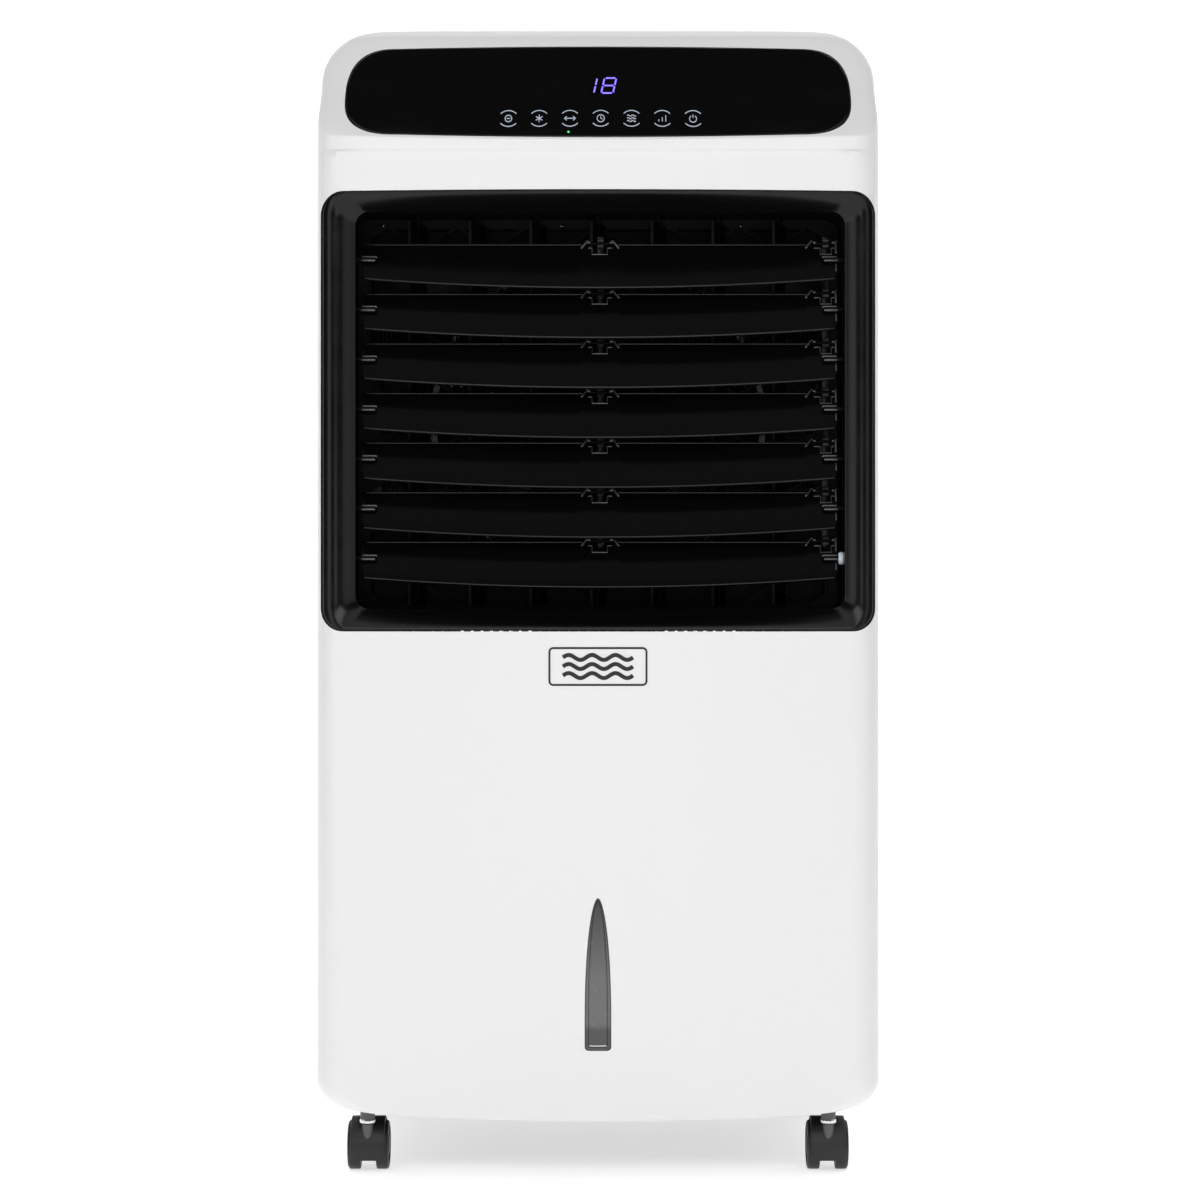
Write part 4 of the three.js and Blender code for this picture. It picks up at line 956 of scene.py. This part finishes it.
def pivot_rims():
    """The rounded ends and the ridge of the pivot bosses at both ends of a louvre."""
    rims = []
    for side in (-1, 1):
        end = LOUVRE["x"] + side * LOUVRE["half_l"]
        ridge = sorted((end - side * 10.2, end - side * 1.0))
        foot = sorted((end - side * 9.0, end - side * 0.5))
        rims.append(rail("pivot_ridge", [(x, 0.9) for x in ridge], -1.7, 0.9))
        rims.append(rail("pivot_foot", [(x, -1.5) for x in foot], -1.3, 0.8))
    end = LOUVRE["x"] + LOUVRE["half_l"]
    rims.append(rail("end_lip", [(end - 1.2, -3.0), (end - 1.2, -8.5)], LOUVRE["face_y"] - 0.1, 0.5))
    return rims


def build_louvre_lips():
    """The fine round edges along the top and the bottom of a louvre."""
    reach, top = LOUVRE["half_l"] - 2.5, LOUVRE["bead_z"] + 1.4
    spread = [reach * (i / 20 - 1) for i in range(41)]
    low = LOUVRE["low"] + 0.75
    bowed = [(LOUVRE["x"] + x, low - LOUVRE["bow"] * (1 - (x / LOUVRE["half_l"]) ** 2)) for x in spread]
    top_lip = rail("top_lip", [(LOUVRE["x"] + x, top) for x in spread], LOUVRE["face_y"] + 0.35, 0.6)
    low_lip = rail("low_lip", bowed, LOUVRE["face_y"] + 0.5, 0.5)
    for ear in EARS:
        past = block("past_ear", (ear["top"][0] - 4, ear["top"][1] + 4), (-20, 20), (5, 30))
        top_lip = carve(top_lip, ("DIFFERENCE", past))
    return fuse("lips", [top_lip, low_lip])


def build_louvres():
    """Seven louvres with their ears, pins and pivots, and the swing motor's bush on the lowest one."""
    lips = build_louvre_lips()
    ears = [("UNION", louvre_ear(EARS[0], False)), ("UNION", louvre_ear(EARS[1], True))]
    blank = carve(louvre_blank(), *ears)
    for ear in EARS:
        gap = block("gap", ear["gap"], (-20, 20), (GAP_Z, 30))
        slot = block("slot", ear["slot"], (-20, 20), (SLOT_Z, 30))
        blank = carve(blank, ("DIFFERENCE", gap), ("DIFFERENCE", slot))
    pin_y = LOUVRE["face_y"] + 1.2
    pins = [rod_x("pin", 1.3, ear["gap"][0] - 0.6, ear["gap"][1] + 0.6, pin_y, PIN_Z, 20) for ear in EARS]
    rims = fuse("ear_rims", ear_rails(EARS[0], False) + ear_rails(EARS[1], True) + pivot_rims())
    for side in (-1, 1):
        end = LOUVRE["x"] + side * LOUVRE["half_l"]
        pins.append(rod_x("boss", 2.5, *sorted((end - side * 10.5, end)), 0, 0, 24, 0.7))
        pins.append(rod_x("stub", 2.0, *sorted((end - side, side * 172.8)), 0, 0, 16))
    blank = carve(blank, *[("UNION", pin) for pin in pins])
    # The rims get the lighter grey finish as painted highlight.
    looks = ((blank, "blade", LOUVRE_BLACK), (rims, "rims", RIM_PAINTED_HIGHLIGHT), (lips, "lips", LIP_BLACK))
    for i in range(LOUVRES):
        pivot = Matrix.Translation(Vector((0, LOUVRE_Y, LOUVRE_TOP_Z - i * LOUVRE_PITCH)) * MM)
        hang = pivot @ Matrix.Rotation(-LOUVRE_TILT, 4, "X")
        for pattern, part, finish in looks:
            piece = moved(copy_of(pattern, f"louvre_{part}_{i + 1}"), hang)
            if part == "blade":
                fit(piece, finish, f"louvre_{i + 1}", angle=34)
            else:
                trim(piece, finish, f"louvre_{i + 1}")
    for pattern, _, _ in looks:
        bpy.data.objects.remove(pattern)
    bush = [(166.9, 0), (166.9, 2.9), (167.3, 3.8), (168.0, 4.25), (169.4, 4.35), (170.2, 4.1), (170.2, 0)]
    bush_z = LOUVRE_TOP_Z - (LOUVRES - 1) * LOUVRE_PITCH
    bush = turned("motor_bush", bush, "X", (0, LOUVRE_Y, bush_z), 40)
    bush = carve(bush, ("DIFFERENCE", rod_x("bush_bore", 2.2, 160, 180, LOUVRE_Y, bush_z, 20, 0.0)))
    fit(bush, NYLON, "louvre_coupling", angle=40)


# ---------------------------------------------------------------- control glass
def build_glass():
    """A crowned black glass with a polished edge."""
    centre_z = 749.0
    edge = [(1.0, -2.5), (1.0, -0.7), (0.9985, -0.25), (0.996, 0.0), (0.992, 0.1)]
    crown = [(s, 0.1 + 0.35 * (1 - s**4)) for s in (0.985, 0.97, 0.94, 0.88, 0.78, 0.62, 0.42, 0.2, 0.03)]
    back = [(0.03, -2.5), (0.5, -2.5)]
    outline = glass_outline()

    def loop(s, out):
        return [on_slope(x * s, centre_z + (z - centre_z) * s, out) for x, z in outline]

    glass = skin("control_glass", [loop(s, out) for s, out in edge + crown + back], ring=True)
    fit(glass, GLASS_BLACK, "control_panel", angle=50)


def ribbon(name, line, width, surface, low=0.35, high=0.6, closed=False):
    """A raised stripe of even width along a line of (x, z) points on a surface."""
    count = len(line)
    sides = []
    for i, (x, z) in enumerate(line):
        before = line[(i - 1) % count] if closed or i else line[i]
        after = line[(i + 1) % count] if closed or i < count - 1 else line[i]
        dx, dz = after[0] - before[0], after[1] - before[1]
        length = math.hypot(dx, dz) or 1.0
        sides.append((-dz / length * width / 2, dx / length * width / 2))
    loops = []
    for (x, z), (sx, sz) in zip(line, sides):
        edges = ((1, high), (-1, high), (-1, low), (1, low))
        loops.append([surface(x + way * sx, z + way * sz, out) for way, out in edges])
    return skin(name, loops, ring=closed)


def arc(cx, cz, r, start, stop, steps=12, flat=1.0):
    """A round line between two angles in degrees, squeezed upright by a share."""
    turns = [radians(lerp(start, stop, i / steps)) for i in range(steps + 1)]
    return [(cx + r * cos(a), cz + flat * r * sin(a)) for a in turns]


def key_glyphs():
    """Seven plain signs, one list of lines for each touch key, about the key's middle."""
    ion = [arc(0, 0, 2.3, 0, 360, 20), [(-1.2, 0), (1.2, 0)]]
    spokes = [(2.6 * cos(a), 2.6 * sin(a)) for a in (pi / 6, pi / 2, 5 * pi / 6)]
    flake = [[(x, z), (-x, -z)] for x, z in spokes]
    swing = [
        [(-3.6, 0), (3.6, 0)], [(-2.2, 1.4), (-3.8, 0), (-2.2, -1.4)], [(2.2, 1.4), (3.8, 0), (2.2, -1.4)]
    ]
    clock = [arc(0, 0, 2.5, 0, 360, 20), [(0, 1.6), (0, 0), (1.2, -0.6)]]
    wave = [(-3 + 0.5 * i, 0.5 * sin(0.5 * i * pi / 1.5)) for i in range(13)]
    warmth = [[(x, dz + z) for x, z in wave] for dz in (1.9, 0.0, -1.9)]
    steps = [[(x, -2.1), (x, top)] for x, top in ((-2.4, -0.7), (0, 0.7), (2.4, 2.2))]
    power = [arc(0, -0.2, 2.4, 125, 415, 20), [(0, 0.4), (0, 2.7)]]
    return [ion, flake, swing, clock, warmth, steps, power]


def build_symbols():
    """The touch keys' signs between two arcs each, two digits and the lamp of the swing."""
    pitch, middle_x, row_z, stroke = 21.2, 1.9, 727.4, 0.5
    stripes = []
    for i, lines in enumerate(key_glyphs()):
        x = middle_x + (i - 3) * pitch
        above = arc(x, row_z - 2.4, 7.7, 134, 46, 12, 1.12)
        below = arc(x, row_z + 2.4, 7.7, -134, -46, 12, 1.12)
        stripes += [ribbon("stripe", line, stroke, on_slope) for line in (above, below)]
        for line in lines:
            points = [(x + px, row_z + pz * 1.12) for px, pz in line]
            ring = line[0] == line[-1] or math.dist(line[0], line[-1]) < 1e-6
            stripes.append(ribbon("stripe", points[:-1] if ring else points, stroke, on_slope, closed=ring))
    trim(fuse("key_symbols", stripes), KEY_LIGHT, "control_panel")

    width, height, lean = 8.2, 12.0, 0.2
    corners = {"a": ((0, 1), (1, 1)), "b": ((1, 1), (1, 0.5)), "c": ((1, 0.5), (1, 0)), "d": ((0, 0), (1, 0)),
               "e": ((0, 0), (0, 0.5)), "f": ((0, 0.5), (0, 1)), "g": ((0, 0.5), (1, 0.5))}
    bars = []
    for left, letters in ((-9.9, "bc"), (3.4, "abcdefg")):
        for letter in letters:
            (x0, z0), (x1, z1) = corners[letter]
            ends = []
            for share in (0.1, 0.9):
                x, z = lerp(x0, x1, share) * width, (lerp(z0, z1, share) - 0.5) * height
                ends.append((left + x + z * lean, 753.4 + z))
            bars.append(ribbon("bar", ends, 1.05, on_slope))
    trim(fuse("display_digits", bars), DIGIT_LIGHT, "control_panel")
    around = [2 * pi * i / 16 for i in range(16)]
    lamp = []
    for r, out in ((0.75, 0.3), (0.55, 0.6)):
        lamp.append([on_slope(-20.2 + r * cos(a), 716.9 + r * sin(a), out) for a in around])
    trim(skin("swing_lamp", lamp), LAMP_LIGHT, "control_panel")


# ---------------------------------------------------------------- window and badge
def build_window():
    """A smoked rim, a sunken pane, and a light grey stripe along the foot that is a painted highlight."""
    deep, shallow = 2.8, 0.6
    rim = [(0.0, -deep), (0.0, -shallow), (-0.25, -0.15), (-0.7, 0.0)]
    rim += [(-1.75, 0.0), (-1.95, -0.35), (-2.1, -0.75), (-2.1, -deep)]
    pane = [(-2.2, -2.6), (-2.2, -0.5), (-2.5, -0.25), (-4.0, -0.2)]

    def loops(steps):
        return [[on_front(x, z, out) for x, z in window_outline(grow)] for grow, out in steps]

    fit(skin("window_rim", loops(rim), ring=True), SMOKE, "level_window", angle=45)
    trim(skin("window_pane", loops(pane)), SMOKE, "level_window", angle=45)
    # Painted highlight: a thin light grey stripe along the rim's foot stands in for a glint.
    painted_glint_line = [(-5.9 + 11.6 * i / 10, 91.1 - 0.25 * sin(pi * i / 10)) for i in range(11)]
    trim(ribbon("window_painted_glint", painted_glint_line, 0.85, on_front, -0.4, 0.05), PAINTED_GLINT_GREY, "level_window")


def build_badge():
    """A plain plate outline with three waves of air."""
    centre_z = 350.5
    outline = rounded_rect(33.2, centre_z - 12.6, centre_z + 12.6, 2.6, 6)
    dense = []
    for k, (x, z) in enumerate(outline):
        after = outline[(k + 1) % len(outline)]
        cuts = 12 if math.dist((x, z), after) > 10 else 1
        dense += [(lerp(x, after[0], i / cuts), lerp(z, after[1], i / cuts)) for i in range(cuts)]
    marks = [ribbon("edge", dense, 1.35, on_front, -0.2, 0.25, closed=True)]
    for dz in (6.2, 0.0, -6.2):
        wave = [(-24 + i, centre_z + dz + 1.7 * sin(2 * pi * i / 16)) for i in range(49)]
        marks.append(ribbon("wave", wave, 2.8, on_front, -0.2, 0.25))
    trim(fuse("front_badge", marks), BADGE_INK, "front_shell")


# ---------------------------------------------------------------- casters
def build_caster(name, x, y):
    """One twin-wheel caster: its chromed ring and stem, the hood with the stem's socket, and the wheels."""
    axle_y, wheel_r = y + CASTER["trail"], CASTER["wheel_r"]
    post = [(36.9, 0), (36.9, 4.9), (37.4, 5.1), (51.5, 5.1), (52, 4.7), (52, 0)]
    ring = [
        (24, 0), (24, 2.3), (24.3, 2.6), (34.0, 2.6), (34.1, 4.9), (34.6, 5.45), (35.5, 5.6), (36.4, 5.5),
        (37.0, 5.0), (37.1, 0)
    ]
    fit(turned(f"stem_ring_{name}", ring, "Z", (x, y, 0), 40), CHROME, f"caster_stem_{name}")
    trim(turned(f"stem_post_{name}", post, "Z", (x, y, 0), 32), STEM_GREY, f"caster_stem_{name}")

    r, half_w, skin_t = CASTER["hood_r"], CASTER["hood_half_w"], 1.8
    side = [(half_w - 0.7, r), (half_w - 0.2, r - 0.2), (half_w, r - 0.7), (half_w, r - skin_t)]
    profile = [(-px, pr) for px, pr in reversed(side)] + side
    angles = [radians(lerp(25, 206, i / 40)) for i in range(41)]
    loops = [[(x + px, axle_y + pr * cos(a), wheel_r + pr * sin(a)) for px, pr in profile] for a in angles]
    cover = skin("cover", loops)
    fan = [(axle_y, wheel_r)] + [(axle_y + (r - 0.5) * cos(a), wheel_r + (r - 0.5) * sin(a)) for a in angles]
    web = skin("web", [[(x + side * CASTER["web"], py, pz) for py, pz in fan] for side in (-1, 1)])
    hub = rod_x("hub", 5.0, x - CASTER["web"], x + CASTER["web"], axle_y, wheel_r, 24)
    cap = [
        (18.4, 0), (18.6, 1.9), (19.4, 2.7), (20.8, 3.1), (23, 3.3), (33.3, 3.95), (33.86, 3.6), (33.86, 0)
    ]
    trim(turned(f"stem_socket_{name}", cap, "Z", (x, y, 0), 32), STEM_GREY, f"caster_hood_{name}")
    nose = [(18.5, 0), (18.7, 1.8), (19.5, 2.6), (20.9, 3.0), (23, 3.2), (33.3, 3.85), (33.8, 3.5), (33.8, 0)]
    boss = turned("boss", nose, "Z", (x, y, 0), 32)
    hood = carve(
        cover, ("UNION", web), ("UNION", hub), ("UNION", boss),
        ("DIFFERENCE", rod_x("bore", 2.4, x - 40, x + 40, axle_y, wheel_r, 24, 0.0)),
        ("DIFFERENCE", turned("stem_bore", [(23, 0), (23, 2.9), (60, 2.9), (60, 0)], "Z", (x, y, 0), 24)),
        (
            "DIFFERENCE",
            turned("collar_bore", [(33.8, 0), (33.8, 6.0), (60, 6.0), (60, 0)], "Z", (x, y, 0), 32)
        ),
    )
    fit(hood, CASTER_GREY, f"caster_hood_{name}", angle=40)

    w = CASTER["half_w"]
    tread = [(5.6, 2.0), (5.6, 16.4), (5.9, 16.8), (6.6, 17.0), (12.2, 17.0), (13.2, 16.7), (13.9, 16.0)]
    disc = [(14.2, 15.0), (13.9, 13.6), (13.2, 12.9), (13.1, 7.4), (13.5, 6.6)]
    half = tread + disc + [(w - 0.1, 5.9), (w, 5.2), (w, 1.2), (w - 0.5, 0.0)]
    profile = [(-h, pr) for h, pr in reversed(half)] + half
    wheels = turned(f"wheel_pair_{name}", [(x + h, pr) for h, pr in profile], "X", (0, axle_y, wheel_r), 56)
    fit(wheels, TREAD_GREY, f"caster_wheels_{name}", angle=40)


# ---------------------------------------------------------------- rear and inside
def screw(r=3.4, depth=1.6):
    """A pan-head screw with a cross recess, its head facing +Y."""
    dome = [(-0.6, 0), (-0.6, r), (depth * 0.3, r), (depth * 0.75, r * 0.8), (depth, r * 0.35), (depth, 0)]
    head = turned("head", dome, "Y", (0, 0, 0), 20)
    slots = [
        block("slot", (-0.4, 0.4), (depth - 0.9, depth + 1), (-1.9, 1.9)),
        block("slot", (-1.9, 1.9), (depth - 0.9, depth + 1), (-0.4, 0.4))
    ]
    return carve(head, ("DIFFERENCE", slots[0]), ("DIFFERENCE", slots[1]))


def pad_sheet():
    """One wavy sheet of the pad. Its flutes run slanting through the pad's depth."""
    wave, half_h, half_paper = PAD_WAVE, PAD["half_h"], PAD_WAVE["half_paper"]
    heights = [2 * half_h * i / wave["steps"] - half_h for i in range(wave["steps"] + 1)]
    loops = []
    for y in (-20, -12, -4, 4, 12, 20):
        line = [(wave["height"] * sin(2 * pi * (z + wave["slant"] * y) / wave["length"]), z) for z in heights]
        near = [(x - half_paper, y, z) for x, z in line]
        loops.append(near + [(x + half_paper, y, z) for x, z in reversed(line)])
    return skin("pad_sheet", loops)


def build_screws():
    """Screws in the rear frame, under the duct's top and in the floor tray."""
    columns = [row(screw(), CHROME, 4, (x, REAR_Y, 272), (0, 0, 138)) for x in (-172.0, 172.0)]
    trim(fuse("rear_screws", columns), CHROME, "rear_shell")
    ledge = moved(screw(1.4, 0.8), Matrix.Rotation(pi, 4, "Z"))
    trim(row(ledge, DARK_PLASTIC, 3, (-153.8, -69.6, 663.2), (128.1, 0, 0)), CHROME, "guard_grille")
    base = moved(screw(), Matrix.Rotation(-pi / 2, 4, "X"))
    trim(row(base, CHROME, 4, (-120, 0, 49.6), (80, 0, 0)), CHROME, "base_tray")


def build_dust_mesh():
    """Crossing threads inside a flat rim."""
    half_w, low, high, rim, pitch = (MESH[key] for key in ("half_w", "low", "high", "rim", "pitch"))
    depth = (MESH["front"], MESH["back"])
    wires = block("wire", (-half_w, half_w), (-0.25, 0.25), (-0.3, 0.3))
    across = row(wires, CLOTH, 85, (0, 155.9, low + 0.5), (0, 0, pitch))
    wires = block("wire", (-0.3, 0.3), (-0.25, 0.25), (-169, 169))
    upright = row(wires, CLOTH, 71, (-half_w, 156.5, (low + high) / 2), (pitch, 0, 0))
    rims = [block("rim", (-half_w, half_w), depth, span) for span in ((low, low + rim), (high - rim, high))]
    sides = ((-half_w, rim - half_w), (half_w - rim, half_w))
    rims += [block("rim", span, depth, (low + rim, high - rim)) for span in sides]
    fit(fuse("dust_mesh", [across, upright] + rims), CLOTH, "filter_mesh")


def build_pad():
    """Wavy sheets side by side, every second one turned round so that their flutes cross."""
    start, step = (PAD["left"], PAD["y"], PAD["z"]), (PAD["pitch"], 0, 0)
    fit(row(pad_sheet(), PAPER, PAD["sheets"], start, step, pi), PAPER, "cooling_pad")


def build_heater():
    """Banks of fins on flat tubes between two end blocks."""
    fins = []
    for k in range(HEATER["banks"]):
        z = HEATER["z"] + HEATER["bank_pitch"] * k
        fin = block("fin", (-0.15, 0.15), (-10, 10), (-13, 13))
        start, step = (HEATER["left"], HEATER["y"], z), (HEATER["fin_pitch"], 0, 0)
        fins.append(row(fin, FINS_PAINTED_SHADE, HEATER["fins"], start, step))
        fins.append(block("tube", (-157.5, 157.5), (-56.5, -52.1), (z - 1, z + 1)))
    for side in (-1, 1):
        x = sorted((side * 154.5, side * 161.5))
        fins.append(soften(block("end", x, (-65.2, -43.4), (458, 596)), 0.8))
    # The fins' near-black finish is painted shade, not their own colour.
    fit(fuse("heater_fins", fins), FINS_PAINTED_SHADE, "heater_core")


def finish_inner_nodes():
    """Rounds the CAD pieces that need it and gives the others their finish as they are."""
    for i in range(7):
        softened_node(f"vane_{i + 1}", INNER_BLACK_AND_SHADE, 0.7)
    for node in ("louvre_link_centre", "louvre_link_right", "vane_link"):
        softened_node(node, LINK_BLACK, 0.35)
    softened_node("water_tank", TANK_MILK, 1.1, 3)
    softened_node("drip_trough", TANK_MILK, 0.6)
    softened_node("water_pump", DARK_PLASTIC, 1.6, 3)
    softened_node("filter_frame", WHITE, 0.7)
    softened_node("cable_gland", DARK_PLASTIC, 0.6)
    softened_node("fan_motor", STEEL, 2.0, 3)
    softened_node("louvre_motor", STEEL, 0.5)
    softened_node("ioniser", DARK_PLASTIC, 1.2)
    softened_node("fan_impeller", INNER_BLACK_AND_SHADE, 0.4)
    dress(DARK_PLASTIC, "base_tray")
    # The steel heater frame is given the near-black finish as painted shade.
    dress(INNER_BLACK_AND_SHADE, "fan_shroud", "fan_ring", "air_duct", "guard_grille", "heater_frame")
    dress(STEEL, "motor_bracket")
    dress(HOSE_CLEAR, "water_hose")
    dress(BOARD, "control_board")


# ---------------------------------------------------------------- studio
def build_studio():
    """A pale floor that curves up into a pale wall, soft lamps above, ahead and aside, and a dim room."""
    profile = [(-4.0, 0.0), (1.6, 0.0)]
    profile += [(1.6 + 1.2 * sin(pi / 2 * i / 12), 1.2 - 1.2 * cos(pi / 2 * i / 12)) for i in range(1, 13)]
    profile += [(2.8, 4.5)]
    points = [(x * 1000, y * 1000, z * 1000) for x in (-5.0, 5.0) for y, z in profile]
    count = len(profile)
    sweep = make("studio_sweep", points, [(i, i + 1, count + i + 1, count + i) for i in range(count - 1)])
    shade(sweep, studio_floor())

    def lamp(name, place, target, size, power):
        light = bpy.data.lights.new(name, "AREA")
        light.shape, light.size, light.size_y, light.energy = "RECTANGLE", size[0], size[1], power
        holder = bpy.data.objects.new(name, light)
        holder.location = place
        holder.rotation_euler = (Vector(target) - Vector(place)).to_track_quat("-Z", "Y").to_euler()
        bpy.context.scene.collection.objects.link(holder)

    lamp("key_top", (0, -3.2, 2.15), (0, 0, 0.44), (3.4, 1.5), 53)
    lamp("top_soft", (0, -1.3, 3.0), (0, 0, 0.5), (3.0, 1.6), 14)
    lamp("fill_front", (0, -3.4, 0.35), (0, 0, 0.4), (0.9, 0.5), 3)
    lamp("side_left", (-2.6, -1.9, 0.8), (0, 0, 0.45), (1.6, 1.6), 10)
    lamp("side_right", (2.6, -1.9, 0.8), (0, 0, 0.45), (1.6, 1.6), 6)
    lamp("wall_wash", (0, 1.2, 3.0), (0, 2.8, 1.0), (4.0, 0.6), 45)
    world = bpy.data.worlds.new("room")
    bpy.context.scene.world = world
    world.use_nodes = True
    world.node_tree.nodes["Background"].inputs["Color"].default_value = grey(1.0)
    world.node_tree.nodes["Background"].inputs["Strength"].default_value = 0.04
    bpy.context.scene.view_settings.view_transform = "Standard"


build_casing()
build_bezel()
build_louvres()
build_glass()
build_symbols()
build_window()
build_badge()
for corner_name, (stem_x, stem_y) in CASTER_PLACES.items():
    build_caster(corner_name, stem_x, stem_y)
build_screws()
build_dust_mesh()
build_pad()
build_heater()
finish_inner_nodes()
build_studio()
